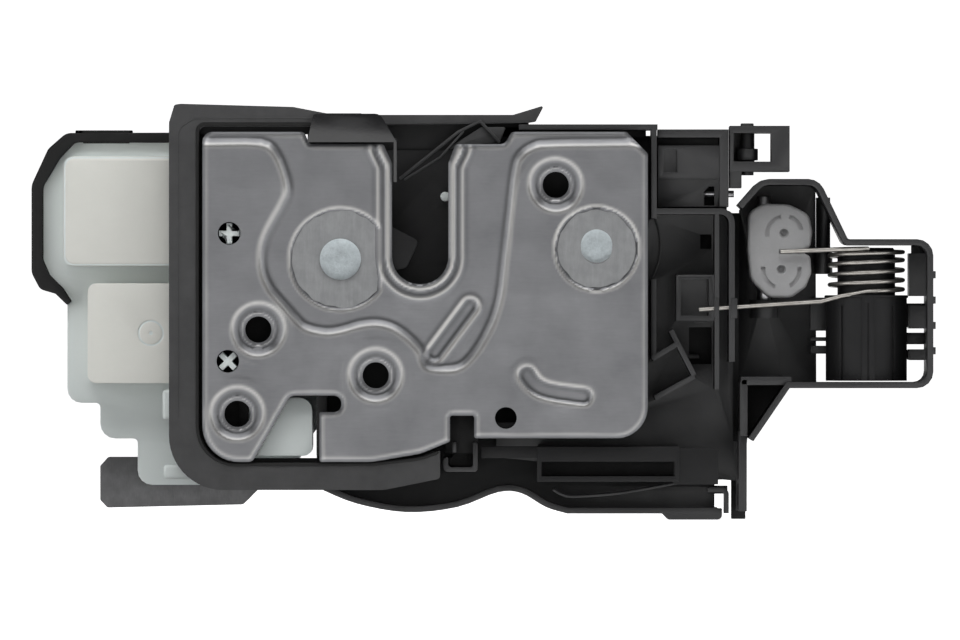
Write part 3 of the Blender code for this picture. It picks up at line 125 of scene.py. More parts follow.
@dataclass(frozen=True)
class Finish:
    """Surface finish built from noise, so that no area is one flat colour.

    Sizes of patterns are in millimetres.
    """

    name: str
    colour: tuple[float, float, float]
    shade: tuple[float, float, float]
    roughness: float
    metallic: float = 0.0
    mottle_mm: float = 9.0
    grain_mm: float = 0.35
    grain_depth: float = 0.05
    stretch: tuple[float, float, float] = (1.0, 1.0, 1.0)
    roughness_swing: float = 0.08
    coat: float = 0.0
    glow: float = 0.0
    speckle: float = 0.0
    specular: float = 0.5
    # Tint of the painted highlight on raised edges, which also turns on painted shade in hollows; None paints
    # no light or shade.
    painted_highlight: tuple[float, float, float] | None = None

    def material(self) -> bpy.types.Material:
        """Build the node tree once and reuse it.

        Returns:
            The Blender material of this finish.
        """
        known = bpy.data.materials.get(self.name)
        if known is not None:
            return known
        made = bpy.data.materials.new(self.name)
        made.use_nodes = True
        tree = made.node_tree
        shader = tree.nodes["Principled BSDF"]
        for socket, value in (("Metallic", self.metallic), ("Coat Weight", self.coat),
                              ("Coat Roughness", 0.2), ("Specular IOR Level", self.specular),
                              ("Subsurface Weight", self.glow), ("Subsurface Radius", (1.0, 1.0, 1.0)),
                              ("Subsurface Scale", GLOW_DEPTH)):
            shader.inputs[socket].default_value = value
        place = tree.nodes.new("ShaderNodeTexCoord")
        mapping = tree.nodes.new("ShaderNodeMapping")
        mapping.inputs["Scale"].default_value = self.stretch
        tree.links.new(place.outputs["Object"], mapping.inputs["Vector"])
        mottle = self._noise(tree, place.outputs["Object"], self.mottle_mm, 4.0)
        grain = self._noise(tree, mapping.outputs["Vector"], self.grain_mm, 3.0)
        blend = self._layer(tree, self.shade)
        blend.inputs["A"].default_value = (*self.colour, 1.0)
        mixed = tree.nodes.new("ShaderNodeMath")
        mixed.operation = "MULTIPLY_ADD"
        tree.links.new(grain.outputs["Fac"], mixed.inputs[0])
        mixed.inputs[1].default_value = 0.25 + self.speckle
        tree.links.new(mottle.outputs["Fac"], mixed.inputs[2])
        spread = self._spread(tree, mixed.outputs["Value"], (0.35, 1.0 + self.speckle), (0.0, 1.0))
        tree.links.new(spread.outputs["Result"], blend.inputs["Factor"])
        tree.links.new(self._paint_light_and_shade(tree, blend.outputs["Result"]), shader.inputs["Base Color"])
        low, high = self.roughness - self.roughness_swing, self.roughness + self.roughness_swing
        rough = self._spread(tree, mixed.outputs["Value"], (0.3, 1.0), (low, high))
        tree.links.new(rough.outputs["Result"], shader.inputs["Roughness"])
        bump = tree.nodes.new("ShaderNodeBump")
        bump.inputs["Strength"].default_value = 0.6
        bump.inputs["Distance"].default_value = self.grain_depth * MM
        tree.links.new(grain.outputs["Fac"], bump.inputs["Height"])
        tree.links.new(bump.outputs["Normal"], shader.inputs["Normal"])
        return made

    def _paint_light_and_shade(self, tree: Tree, colour: Socket) -> Socket:
        """Lighten raised edges with a painted highlight and darken hollows with painted shade, by the vertex
        attribute, where the finish has them.

        Args:
            tree: Node tree of the material.
            colour: Plain colour of the finish.

        Returns:
            The colour to use.
        """
        if self.painted_highlight is None:
            return colour
        mark = tree.nodes.new("ShaderNodeAttribute")
        mark.attribute_name = "edge_light_and_shade"
        # Painted shade for hollows, at half the shade colour.
        painted_shade_tint = tuple(0.5 * value for value in self.shade)
        # The first layer paints a highlight on raised edges, the second paints shade in hollows.
        for source, target, tint in (((0.52, 1.0), (0.0, 1.0), self.painted_highlight), ((0.48, 0.0), (0.0, 0.7), painted_shade_tint)):
            amount = self._spread(tree, mark.outputs["Fac"], source, target)
            layer = self._layer(tree, tint)
            tree.links.new(amount.outputs["Result"], layer.inputs["Factor"])
            tree.links.new(colour, layer.inputs["A"])
            colour = layer.outputs["Result"]
        return colour

    @staticmethod
    def _layer(tree: Tree, tint: tuple[float, ...]) -> Node:
        """Add a colour mix whose second colour is the tint."""
        layer = tree.nodes.new("ShaderNodeMix")
        layer.data_type = "RGBA"
        layer.inputs["B"].default_value = (*tint, 1.0)
        return layer

    @staticmethod
    def _noise(tree: Tree, vector: Socket, size_mm: float,
               detail: float) -> Node:
        """Add a noise texture.

        Args:
            tree: Node tree of the material.
            vector: Coordinates to read.
            size_mm: Size of one blotch.
            detail: Octaves of finer noise.

        Returns:
            The noise node.
        """
        texture = tree.nodes.new("ShaderNodeTexNoise")
        texture.inputs["Scale"].default_value = 1.0 / (size_mm * MM)
        texture.inputs["Detail"].default_value = detail
        texture.inputs["Roughness"].default_value = 0.6
        tree.links.new(vector, texture.inputs["Vector"])
        return texture

    @staticmethod
    def _spread(tree: Tree, value: Socket, source: tuple[float, float],
                target: tuple[float, float]) -> Node:
        """Map a value from one range to another.

        Args:
            tree: Node tree of the material.
            value: Value to map.
            source: Range that is read.
            target: Range that is written.

        Returns:
            The map range node.
        """
        ranger = tree.nodes.new("ShaderNodeMapRange")
        for socket, limit in zip(("From Min", "From Max", "To Min", "To Max"), (*source, *target)):
            ranger.inputs[socket].default_value = limit
        tree.links.new(value, ranger.inputs["Value"])
        return ranger


PRESSED_STEEL = Finish("pressed_steel", (0.205, 0.207, 0.215), (0.135, 0.137, 0.144), 0.36, 0.8,
                       mottle_mm=14.0, grain_mm=0.5, grain_depth=0.02, stretch=(0.12, 1.0, 1.0),
                       roughness_swing=0.07)
# Plate steel that has a painted highlight on raised edges and painted shade in hollows.
PRESSED_PLATE = replace(PRESSED_STEEL, name="pressed_plate_steel", painted_highlight=(0.4, 0.395, 0.385))
RIVET_ZINC = Finish("upset_zinc", (0.7, 0.765, 0.79), (0.4, 0.45, 0.47), 0.85, 0.0, mottle_mm=1.6,
                    grain_mm=0.5, grain_depth=0.2, speckle=0.5, specular=0.15)
WIPED_SEALANT = Finish("wiped_sealant", (0.33, 0.335, 0.34), (0.2, 0.205, 0.21), 0.5, 0.35, mottle_mm=3.0,
                       grain_mm=0.9, grain_depth=0.1, stretch=(1.0, 1.0, 0.16), roughness_swing=0.12,
                       speckle=0.5)
LEVER_STEEL = Finish("lever_steel", (0.115, 0.115, 0.117), (0.06, 0.06, 0.062), 0.42, 0.7, mottle_mm=3.0,
                     grain_mm=0.25, grain_depth=0.06, stretch=(1.0, 1.0, 0.15), speckle=0.3)
MACHINED_STEEL = Finish("machined_steel", (0.42, 0.42, 0.43), (0.27, 0.27, 0.28), 0.33, 0.95,
                        mottle_mm=6.0)
SPRING_WIRE = Finish("spring_wire", (0.4, 0.385, 0.36), (0.2, 0.19, 0.175), 0.34, 0.9, mottle_mm=2.5,
                     grain_mm=0.2, grain_depth=0.03)
TIN_BRASS = Finish("tin_brass", (0.68, 0.52, 0.25), (0.5, 0.37, 0.17), 0.32, 0.95, mottle_mm=5.0)
BLACK_MOULDING = Finish("black_moulding", (0.0185, 0.0185, 0.0195), (0.0105, 0.0105, 0.0115), 0.5,
                        mottle_mm=11.0, grain_mm=0.28, grain_depth=0.035, roughness_swing=0.09)
DEEP_BLACK = Finish("deep_black_moulding", (0.0075, 0.0075, 0.008), (0.0045, 0.0045, 0.005), 0.55,
                    mottle_mm=9.0, grain_mm=0.3, grain_depth=0.03, specular=0.25)
GLOSS_BLACK = Finish("glossy_moulding", (0.011, 0.011, 0.012), (0.007, 0.007, 0.008), 0.24, mottle_mm=5.0,
                     grain_mm=0.8, grain_depth=0.04, coat=0.25)
SEAL_RUBBER = Finish("seal_rubber", (0.053, 0.053, 0.054), (0.032, 0.032, 0.033), 0.72, mottle_mm=6.0,
                     grain_mm=0.22, grain_depth=0.06, roughness_swing=0.06)
JOINT_RUBBER = Finish("joint_rubber", (0.0075, 0.0075, 0.0075), (0.0045, 0.0045, 0.0045), 0.6,
                      mottle_mm=5.0, specular=0.25)
NATURAL_WHITE = Finish("natural_white", (0.9, 0.955, 0.94), (0.84, 0.91, 0.895), 0.42, mottle_mm=22.0,
                       grain_mm=0.5, grain_depth=0.02, glow=0.05)
WARM_WHITE = Finish("warm_white", (0.9, 0.9, 0.845), (0.82, 0.825, 0.77), 0.46, mottle_mm=18.0,
                    grain_mm=0.5, grain_depth=0.02, glow=0.05)
PALE_STUDIO = Finish("pale_studio", (0.93, 0.93, 0.93), (0.9, 0.9, 0.9), 0.85, mottle_mm=400.0,
                     grain_mm=20.0, grain_depth=0.0, roughness_swing=0.02, specular=0.1)
SOFT_GREY = Finish("soft_grey", (0.41, 0.41, 0.415), (0.33, 0.33, 0.335), 0.5, mottle_mm=7.0, grain_mm=0.4,
                   grain_depth=0.03, glow=0.05)


# ------------------------------------------------------------------ outlines
class Outline:
    """Flat paths in millimetres, made of corners, arcs and smooth curves."""

    ARC = math.radians(7)

    @classmethod
    def rounded(cls, corners: Sequence[Point]) -> Path2D:
        """Round the corners of a closed outline.

        Args:
            corners: (x, z) or (x, z, radius) corners in order.

        Returns:
            Points of the outline, each radius drawn as an arc.
        """
        spots = [Vector(corner[:2]) for corner in corners]
        count = len(spots)
        halves, reach = [], []
        for index, corner in enumerate(corners):
            before = spots[index - 1] - spots[index]
            after = spots[(index + 1) % count] - spots[index]
            halves.append(before.angle(after) / 2)
            reach.append(corner[2] / math.tan(halves[-1]) if len(corner) > 2 else 0.0)
        for index in range(count):
            following = (index + 1) % count
            room = 0.98 * (spots[following] - spots[index]).length
            wanted = reach[index] + reach[following]
            if wanted > room:
                reach[index] *= room / wanted
                reach[following] *= room / wanted
        points: Path2D = []
        for index, spot in enumerate(spots):
            if reach[index] < 1e-6:
                points.append((spot.x, spot.y))
                continue
            to_before = (spots[index - 1] - spot).normalized()
            to_after = (spots[(index + 1) % count] - spot).normalized()
            radius = reach[index] * math.tan(halves[index])
            centre = spot + (to_before + to_after).normalized() * radius / math.sin(halves[index])
            first = spot + to_before * reach[index] - centre
            last = spot + to_after * reach[index] - centre
            start = math.atan2(first.y, first.x)
            sweep = (math.atan2(last.y, last.x) - start + math.pi) % math.tau - math.pi
            steps = max(1, math.ceil(abs(sweep) / cls.ARC))
            for step in range(steps + 1):
                angle = start + sweep * step / steps
                points.append((centre.x + radius * math.cos(angle), centre.y + radius * math.sin(angle)))
        return points

    @classmethod
    def path(cls, corners: Sequence[Point]) -> Path2D:
        """Open path with rounded inner corners."""
        return cls.rounded([corners[0][:2], *corners[1:-1], corners[-1][:2]])

    @staticmethod
    def flowing(points: Sequence[Point], per_span: int = 8) -> Path2D:
        """Draw a smooth open curve through points.

        Args:
            points: Points that the curve passes.
            per_span: Steps between two of them.

        Returns:
            Points along the curve.
        """
        ends = [points[0], *points, points[-1]]
        path: Path2D = []
        for index in range(1, len(ends) - 2):
            a, b, c, d = (Vector(ends[index + shift][:2]) for shift in (-1, 0, 1, 2))
            for step in range(per_span):
                t = step / per_span
                spot = 0.5 * (2 * b + (c - a) * t + (2 * a - 5 * b + 4 * c - d) * t ** 2
                              + (3 * b - a - 3 * c + d) * t ** 3)
                path.append((spot.x, spot.y))
        path.append((points[-1][0], points[-1][1]))
        return path

    @staticmethod
    def band(path: Sequence[Point], width: float) -> Path2D:
        """Closed outline of a wall along an open path.

        Args:
            path: Middle of the wall.
            width: Thickness of the wall.

        Returns:
            Points round the wall.
        """
        left, right = [], []
        for index, spot in enumerate(path):
            here = Vector(spot[:2])
            ahead = Vector(path[min(index + 1, len(path) - 1)][:2]) - here
            behind = here - Vector(path[max(index - 1, 0)][:2])
            ahead = ahead if ahead.length > 1e-9 else behind
            behind = behind if behind.length > 1e-9 else ahead
            along = (ahead.normalized() + behind.normalized()).normalized()
            normal = Vector((-along.y, along.x))
            straight = Vector((-ahead.y, ahead.x)).normalized()
            spread = width / 2 / max(0.5, normal.dot(straight))
            left.append(tuple(here + normal * spread))
            right.append(tuple(here - normal * spread))
        return left + right[::-1]

    @staticmethod
    def arc(centre: Point, radius: float, start: float, end: float, steps: int = 14) -> Path2D:
        """Points along an arc between two angles in degrees."""
        angles = [math.radians(start + (end - start) * step / steps) for step in range(steps + 1)]
        return [(centre[0] + radius * math.cos(angle), centre[1] + radius * math.sin(angle))
                for angle in angles]


# ------------------------------------------------------------------ bench tools
class Bench:
    """Modelling tools. Each one works on cleanly selected objects and leaves one mesh object."""

    @staticmethod
    def fresh() -> None:
        """Leave every object unselected."""
        bpy.ops.object.select_all(action="DESELECT")

    @staticmethod
    def only(piece: Piece) -> None:
        """Select one object alone and make it active."""
        if bpy.context.object is not None and bpy.context.object.mode != "OBJECT":
            bpy.ops.object.mode_set(mode="OBJECT")
        Bench.fresh()
        piece.select_set(True)
        bpy.context.view_layer.objects.active = piece

    @classmethod
    def edit(cls, piece: Piece) -> None:
        """Enter edit mode with the whole mesh selected."""
        cls.only(piece)
        bpy.ops.object.mode_set(mode="EDIT")
        bpy.ops.mesh.select_all(action="SELECT")

    @classmethod
    def settle(cls, piece: Piece, name: str) -> Piece:
        """Name a piece and move its place into its mesh.

        Args:
            piece: Object as an operator left it.
            name: Its final name.

        Returns:
            The same object, at the origin.
        """
        cls.only(piece)
        bpy.ops.object.transform_apply(location=True, rotation=True, scale=True)
        piece.name = name
        piece.data.name = name
        return piece

    @classmethod
    def block(cls, name: str, low: Point, high: Point) -> Piece:
        """Box between two corners in millimetres."""
        Bench.fresh()
        middle = [(a + b) / 2 * MM for a, b in zip(low, high)]
        size = [(b - a) * MM for a, b in zip(low, high)]
        bpy.ops.mesh.primitive_cube_add(size=1.0, location=middle, scale=size)
        return cls.settle(bpy.context.object, name)

    @classmethod
    def rod(cls, name: str, start: Point, radius: float, length: float, way: Way = Way.DEEP,
            end_radius: float | None = None, sides: int = 40) -> Piece:
        """Round bar or cone from a start point.

        Args:
            name: Name of the piece.
            start: Centre of its first end.
            radius: Radius at the first end.
            length: Length along the way.
            way: Axis that it runs along.
            end_radius: Radius at the far end, if it tapers.
            sides: Sides of the circle.

        Returns:
            The new object.
        """
        turn = {Way.ACROSS: (0, math.pi / 2, 0), Way.DEEP: (-math.pi / 2, 0, 0), Way.UP: (0, 0, 0)}[way]
        middle = (Vector(start) + way.axis * length / 2) * MM
        far = radius if end_radius is None else end_radius
        Bench.fresh()
        bpy.ops.mesh.primitive_cone_add(vertices=sides, radius1=radius * MM, radius2=far * MM,
                                        depth=length * MM, location=middle, rotation=turn)
        return cls.settle(bpy.context.object, name)

    @classmethod
    def sheet(cls, name: str, outline: Sequence[Point], start: float, depth: float,
              way: Way = Way.DEEP) -> Piece:
        """Flat face with the given outline, extruded.

        Args:
            name: Name of the piece.
            outline: Closed outline.
            start: Where the thickness starts along the way.
            depth: Thickness.
            way: Axis of the thickness.

        Returns:
            The new object.
        """
        Bench.fresh()
        bpy.ops.mesh.primitive_circle_add(vertices=len(outline), radius=MM, fill_type="NGON")
        piece = bpy.context.object
        order = {Way.DEEP: lambda u, v: (u, start, v), Way.ACROSS: lambda u, v: (start, u, v),
                 Way.UP: lambda u, v: (u, v, start)}[way]
        for vertex, (u, v) in zip(piece.data.vertices, outline):
            vertex.co = Vector(order(u, v)) * MM
        shift = tuple(way.axis * (depth * MM))
        cls.edit(piece)
        bpy.ops.mesh.extrude_region_move(TRANSFORM_OT_translate={"value": shift})
        bpy.ops.mesh.select_all(action="SELECT")
        bpy.ops.mesh.normals_make_consistent(inside=False)
        bpy.ops.object.mode_set(mode="OBJECT")
        return cls.settle(piece, name)

    @classmethod
    def wire(cls, name: str, points: Sequence[Point], radius: float, sides: int = 4) -> Piece:
        """Round wire through points in space.

        Args:
            name: Name of the piece.
            points: (x, y, z) points along its middle.
            radius: Radius of the wire.
            sides: Bevel resolution of the curve.

        Returns:
            The wire as a mesh object with closed ends.
        """
        curve = bpy.data.curves.new(name, "CURVE")
        curve.dimensions = "3D"
        curve.bevel_depth = radius * MM
        curve.bevel_resolution = sides
        curve.use_fill_caps = True
        spline = curve.splines.new("POLY")
        spline.points.add(len(points) - 1)
        for point, spot in zip(spline.points, points):
            point.co = (*(value * MM for value in spot), 1.0)
        piece = bpy.data.objects.new(name, curve)
        bpy.context.scene.collection.objects.link(piece)
        cls.only(piece)
        bpy.ops.object.convert(target="MESH")
        piece = bpy.context.object
        cls.clean(piece)
        return cls.settle(piece, name)

    @classmethod
    def lathe(cls, name: str, profile: Sequence[Point], centre: Point, way: Way = Way.DEEP,
              sides: int = 48) -> Piece:
        """Turn a closed profile round an axis.

        Args:
            name: Name of the piece.
            profile: (radius, distance along the way) points in order, as a closed loop.
            centre: Point of the axis that distance 0 is at.
            way: Direction of the axis.
            sides: Steps of the turn.

        Returns:
            The turned piece.
        """
        Bench.fresh()
        bpy.ops.mesh.primitive_circle_add(vertices=len(profile), radius=MM, fill_type="NOTHING")
        piece = bpy.context.object
        place = {Way.DEEP: lambda r, t: (r, t, 0.0), Way.ACROSS: lambda r, t: (t, r, 0.0),
                 Way.UP: lambda r, t: (r, 0.0, t)}[way]
        for vertex, (radius, along) in zip(piece.data.vertices, profile):
            vertex.co = (Vector(centre) + Vector(place(radius, along))) * MM
        cls.edit(piece)
        bpy.ops.mesh.spin(steps=sides, angle=math.tau, center=tuple(Vector(centre) * MM),
                          axis=tuple(way.axis))
        bpy.ops.object.mode_set(mode="OBJECT")
        cls.clean(piece)
        return cls.settle(piece, name)

    @classmethod
    def clean(cls, piece: Piece, dissolve: float = 0.0) -> None:
        """Merge doubles and turn the faces out.

        Args:
            piece: Mesh object to clean.
            dissolve: Angle in degrees under which flat neighbours become one face.
        """
        cls.edit(piece)
        bpy.ops.mesh.remove_doubles(threshold=2e-6)
        if dissolve:
            bpy.ops.mesh.dissolve_limited(angle_limit=math.radians(dissolve))
        bpy.ops.mesh.normals_make_consistent(inside=False)
        bpy.ops.object.mode_set(mode="OBJECT")

    @classmethod
    def soften(cls, piece: Piece, width: float, segments: int = 2,
               angle: float = 32.0) -> Piece:
        """Bevel the sharp edges and shade the rest smooth.

        Args:
            piece: Mesh object.
            width: Bevel width in millimetres.
            segments: Steps across the bevel.
            angle: Edges sharper than this many degrees are bevelled.

        Returns:
            The same object.
        """
        cls.only(piece)
        if width:
            bevel = piece.modifiers.new("edges", "BEVEL")
            bevel.width = width * MM
            bevel.segments = segments
            bevel.limit_method = "ANGLE"
            bevel.angle_limit = math.radians(angle)
            bevel.use_clamp_overlap = True
            bevel.miter_outer = "MITER_ARC"
            bpy.ops.object.modifier_apply(modifier="edges")
        bpy.ops.object.shade_smooth_by_angle(angle=math.radians(angle + 8))
        return piece

    @classmethod
    def combine(cls, piece: Piece, operation: str, others: Iterable[Piece],
                solver: str = "EXACT") -> Piece:
        """Boolean the others with the piece, one after another, and remove them.

        Args:
            piece: Object that stays.
            operation: UNION, DIFFERENCE or INTERSECT.
            others: Objects that are used up.
            solver: EXACT for flat-sided pieces, MANIFOLD for dense closed ones.

        Returns:
            The piece.
        """
        for other in others:
            cls.only(piece)
            step = piece.modifiers.new("cut", "BOOLEAN")
            step.operation = operation
            step.solver = solver
            step.object = other
            bpy.ops.object.modifier_apply(modifier="cut")
            bpy.data.objects.remove(other, do_unlink=True)
        return piece

    @classmethod
    def join(cls, piece: Piece, *others: Piece) -> Piece:
        """Union of the piece with the others."""
        return cls.combine(piece, "UNION", others)

    @classmethod
    def cut(cls, piece: Piece, *others: Piece) -> Piece:
        """The piece without the others."""
        return cls.combine(piece, "DIFFERENCE", others)

    @classmethod
    def copy_node(cls, node: str, name: str) -> Piece:
        """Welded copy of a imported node's mesh.

        Args:
            node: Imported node.
            name: Name of the copy.

        Returns:
            The copy, its flat faces whole again.
        """
        piece = bpy.data.objects.new(name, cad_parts[node].data.copy())
        bpy.context.scene.collection.objects.link(piece)
        piece.data.materials.clear()
        cls.clean(piece, dissolve=0.6)
        return piece

    @classmethod
    def dress(cls, piece: Piece, finish: Finish, slot: Slot, body: str = "root",
              stands_for: Sequence[str] = ()) -> Piece:
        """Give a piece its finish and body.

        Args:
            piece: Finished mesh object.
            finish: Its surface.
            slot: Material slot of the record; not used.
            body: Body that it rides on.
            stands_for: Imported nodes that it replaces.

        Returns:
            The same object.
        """
        piece.data.materials.clear()
        piece.data.materials.append(finish.material())
        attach(piece, body)
        if stands_for:
            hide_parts(*stands_for)
        LOG.info("built %s: %d faces", piece.name, len(piece.data.polygons))
        return piece


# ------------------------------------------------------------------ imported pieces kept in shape
@dataclass(frozen=True)
class Copied:
    """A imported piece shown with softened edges.

    Sizes are in millimetres.
    """

    node: str
    finish: Finish
    slot: Slot
    body: str = "root"
    edge: float = 0.22
    segments: int = 2

    def build(self) -> Piece:
        """Copy the node, soften its edges and dress it."""
        piece = Bench.copy_node(self.node, f"{self.node}_soft")
        Bench.soften(piece, self.edge, self.segments)
        return Bench.dress(piece, self.finish, self.slot, self.body, (self.node,))


@dataclass
class CopiedGroup:
    """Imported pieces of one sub-assembly whose shape is already complete."""

    title: str
    pieces: Sequence[Copied]

    def build(self) -> list[Piece]:
        """Build every piece of the group."""
        LOG.info("%s: %d pieces", self.title, len(self.pieces))
        return [piece.build() for piece in self.pieces]


CATCH_GROUP = CopiedGroup("catch and pawl", (
    Copied("catch_plate", DEEP_BLACK, Slot.GLOSS_BLACK, "catch", 0.3),
    Copied("catch_cover", GLOSS_BLACK, Slot.GLOSS_BLACK, "catch", 0.25),
    Copied("catch_spring", SPRING_WIRE, Slot.SPRING_STEEL, edge=0.0),
    Copied("pawl_plate", MACHINED_STEEL, Slot.DARK_STEEL, "pawl", 0.3),
    Copied("pawl_cover", GLOSS_BLACK, Slot.GLOSS_BLACK, "pawl", 0.25),
    Copied("pawl_spring", SPRING_WIRE, Slot.SPRING_STEEL, edge=0.0),
    Copied("latch_housing", DEEP_BLACK, Slot.BLACK),
    Copied("striker_bumper", JOINT_RUBBER, Slot.RUBBER, edge=0.3),
    Copied("back_plate", PRESSED_STEEL, Slot.PLATE_STEEL),
    Copied("guide_pin", NATURAL_WHITE, Slot.WHITE),
    Copied("mouth_flap", SEAL_RUBBER, Slot.RUBBER, edge=0.25),
))

DRIVE_GROUP = CopiedGroup("lock drive", (
    Copied("lock_motor", MACHINED_STEEL, Slot.DARK_STEEL, edge=0.3),
    Copied("worm", TIN_BRASS, Slot.BRASS, "worm", 0.1),
    Copied("worm_wheel", SOFT_GREY, Slot.GREY, "wheel", 0.15),
    Copied("wheel_pin", MACHINED_STEEL, Slot.DARK_STEEL),
    Copied("lock_lever", SOFT_GREY, Slot.GREY, "lock_lever", 0.25),
    Copied("lock_lever_pin", MACHINED_STEEL, Slot.DARK_STEEL),
    Copied("lock_switch", BLACK_MOULDING, Slot.BLACK),
    Copied("switch_plunger", SOFT_GREY, Slot.GREY, "plunger", 0.15),
    Copied("lead_frame", TIN_BRASS, Slot.BRASS, edge=0.1),
    *(Copied(f"terminal_{index}", TIN_BRASS, Slot.BRASS, edge=0.1) for index in range(1, 5)),
))


# ------------------------------------------------------------------ face plate
@dataclass
class FacePlate:
    """Pressed steel face plate with its step, recesses, flared holes and beads.

    Sizes are in millimetres; depth is measured from the raised field inwards.
    """

    pitch: float = 0.45
    sheet: float = 1.7
    step: float = 1.0
    step_softness: float = 1.15
    slot_half: float = 6.2
    slot_root: float = 25.5
    hole_r: float = 2.9
    rim_r: float = 3.65
    flare_r: float = 6.3
    flare_depth: float = 1.3
    bolt_holes: Sequence[Point] = ((-35.7, 15.5), (-40.3, -3.1), (-9.8, 5.4), (29.9, 47.4))
    plain_hole: Point = (18.9, -4.0)
    plain_hole_r: float = 2.4
    pin_holes: Sequence[Point] = ((-42.1, 36.7), (-42.4, 8.5))
    pin_hole_r: float = 2.5
    catch_pivot: Point = (-17.6, 31.0)
    pawl_pivot: Point = (38.9, 34.1)
    catch_recess_r: float = 11.0
    catch_recess_depth: float = 0.42
    pawl_recess: Point = (38.9, 33.3)
    pawl_recess_r: float = 9.0
    pawl_recess_depth: float = 0.55
    straight_bead: Sequence[Point] = ((11.0, 20.6), (3.2, 10.2))
    curved_bead: Sequence[Point] = ((23.6, 5.4), (25.4, 3.2), (28.6, 1.8), (36.0, 0.7))
    lip: float = 0.16
    pivot_bore_r: float = 3.2
    punched: tuple[float, float] = (-4.0, 14.0)
    low: Vector = field(default_factory=lambda: box_mm("face_plate")[0])
    high: Vector = field(default_factory=lambda: box_mm("face_plate")[1])

    def outline(self) -> Path2D:
        """Outline with the striker slot, the foot tab and the hook notch."""
        left, right, top, bottom = self.low.x, self.high.x, self.high.z, self.low.z
        slot, mouth, foot = self.slot_half, top - 2.7, -8.5
        return Outline.rounded([
            (left, top, 2.2), (-25.6, top, 1.2), (-24.4, mouth, 1.0), (-slot - 1.9, mouth, 0.9),
            (-slot, mouth - 4.2, 1.5), (-slot, self.slot_root, slot - 0.1),
            (slot, self.slot_root, slot - 0.1), (slot, mouth - 4.2, 1.5), (slot + 1.6, mouth, 0.9),
            (18.6, mouth, 1.5), (20.2, top, 1.0), (right - 4.7, top, 0.8), (right, top - 4.8, 1.0),
            (right, foot, 7.0), (11.9, foot, 0.6), (11.9, foot + 5.0, 0.5), (6.6, foot + 5.0, 0.5),
            (6.6, foot - 0.7, 0.6), (0.0, foot - 3.4, 8.0), (-10.6, bottom, 10.0), (-22.2, bottom, 0.5),
            (-22.2, bottom + 11.0, 0.4), (-17.4, bottom + 11.0, 1.6), (-17.4, bottom + 14.6, 1.6),
            (-28.6, bottom + 14.6, 1.5), (left + 11.0, bottom, 1.5), (left, bottom, 8.0)])

    def lowered_edge(self) -> Path2D:
        """Edge of the lowered central field, closed above the plate."""
        above = self.high.z + 8
        return [(-60.0, above), (-60.0, 56.9), *Outline.flowing([
            (-46.3, 56.9), (-35.0, 56.8), (-31.7, 54.3), (-29.8, 49.9), (-29.1, 46.0), (-30.2, 43.0),
            (-32.0, 39.7), (-33.9, 36.1), (-34.8, 32.5), (-34.6, 28.4), (-33.1, 24.8), (-30.9, 22.0),
            (-27.3, 18.0), (-25.1, 16.1), (-20.7, 15.1), (-17.1, 15.6), (-13.4, 16.7), (-9.8, 17.1),
            (-6.2, 16.3), (-3.2, 14.4), (0.0, 11.2), (0.7, 8.8), (1.9, 7.3), (5.2, 6.9), (8.6, 7.3),
            (11.3, 9.6), (14.1, 13.9), (16.4, 19.0), (17.6, 23.8), (18.3, 29.7), (19.8, 42.9),
            (20.7, 50.5), (21.9, 53.9), (24.9, 56.0), (29.0, 56.6), (46.8, 56.8)], 3),
            (70.0, 56.8), (70.0, above)]

    @staticmethod
    def _to_path(x: np.ndarray, z: np.ndarray, path: Sequence[Point], closed: bool) -> np.ndarray:
        """Distance of points from a path."""
        spots = np.array([spot[:2] for spot in path], float)
        ends = np.roll(spots, -1, axis=0)
        if not closed:
            spots, ends = spots[:-1], ends[:-1]
        nearest = np.full(x.shape, np.inf)
        for (ax, az), (bx, bz) in zip(spots, ends):
            length = (bx - ax) ** 2 + (bz - az) ** 2
            if length < 1e-12:
                continue
            along = np.clip(((x - ax) * (bx - ax) + (z - az) * (bz - az)) / length, 0, 1)
            away = np.hypot(x - ax - along * (bx - ax), z - az - along * (bz - az))
            nearest = np.minimum(nearest, away)
        return nearest

    @staticmethod
    def _inside(x: np.ndarray, z: np.ndarray, path: Sequence[Point]) -> np.ndarray:
        """Whether points lie in a closed outline."""
        within = np.zeros(x.shape, bool)
        for (ax, az), (bx, bz) in zip(path, [*path[1:], path[0]]):
            if az == bz:
                continue
            crosses = (az > z) != (bz > z)
            within ^= crosses & (x < (bx - ax) * (z - az) / (bz - az) + ax)
        return within

    @staticmethod
    def _ease(value: np.ndarray) -> np.ndarray:
        """Smooth step from 0 to 1."""
        held = np.clip(value, 0, 1)
        return held * held * (3 - 2 * held)

    @staticmethod
    def _swell(value: np.ndarray, middle: float, width: float) -> np.ndarray:
        """Smooth bump of height 1 round a middle value."""
        return np.exp(-((value - middle) / width) ** 2)

    @staticmethod
    def _from(x: np.ndarray, z: np.ndarray, centre: Point) -> np.ndarray:
        """Distance of points from a centre."""
        return np.hypot(x - centre[0], z - centre[1])

    def _dish(self, x: np.ndarray, z: np.ndarray, path: Sequence[Point], half: float,
              depth: float, soft: float) -> np.ndarray:
        """Depth of a groove along a path, with a low raised lip round it."""
        away = self._to_path(x, z, path, closed=False) - half
        groove = depth * (1 - self._ease(away / soft + 0.5))
        lip = self.lip * self._swell(away, soft, 0.55 * soft)
        return groove - lip

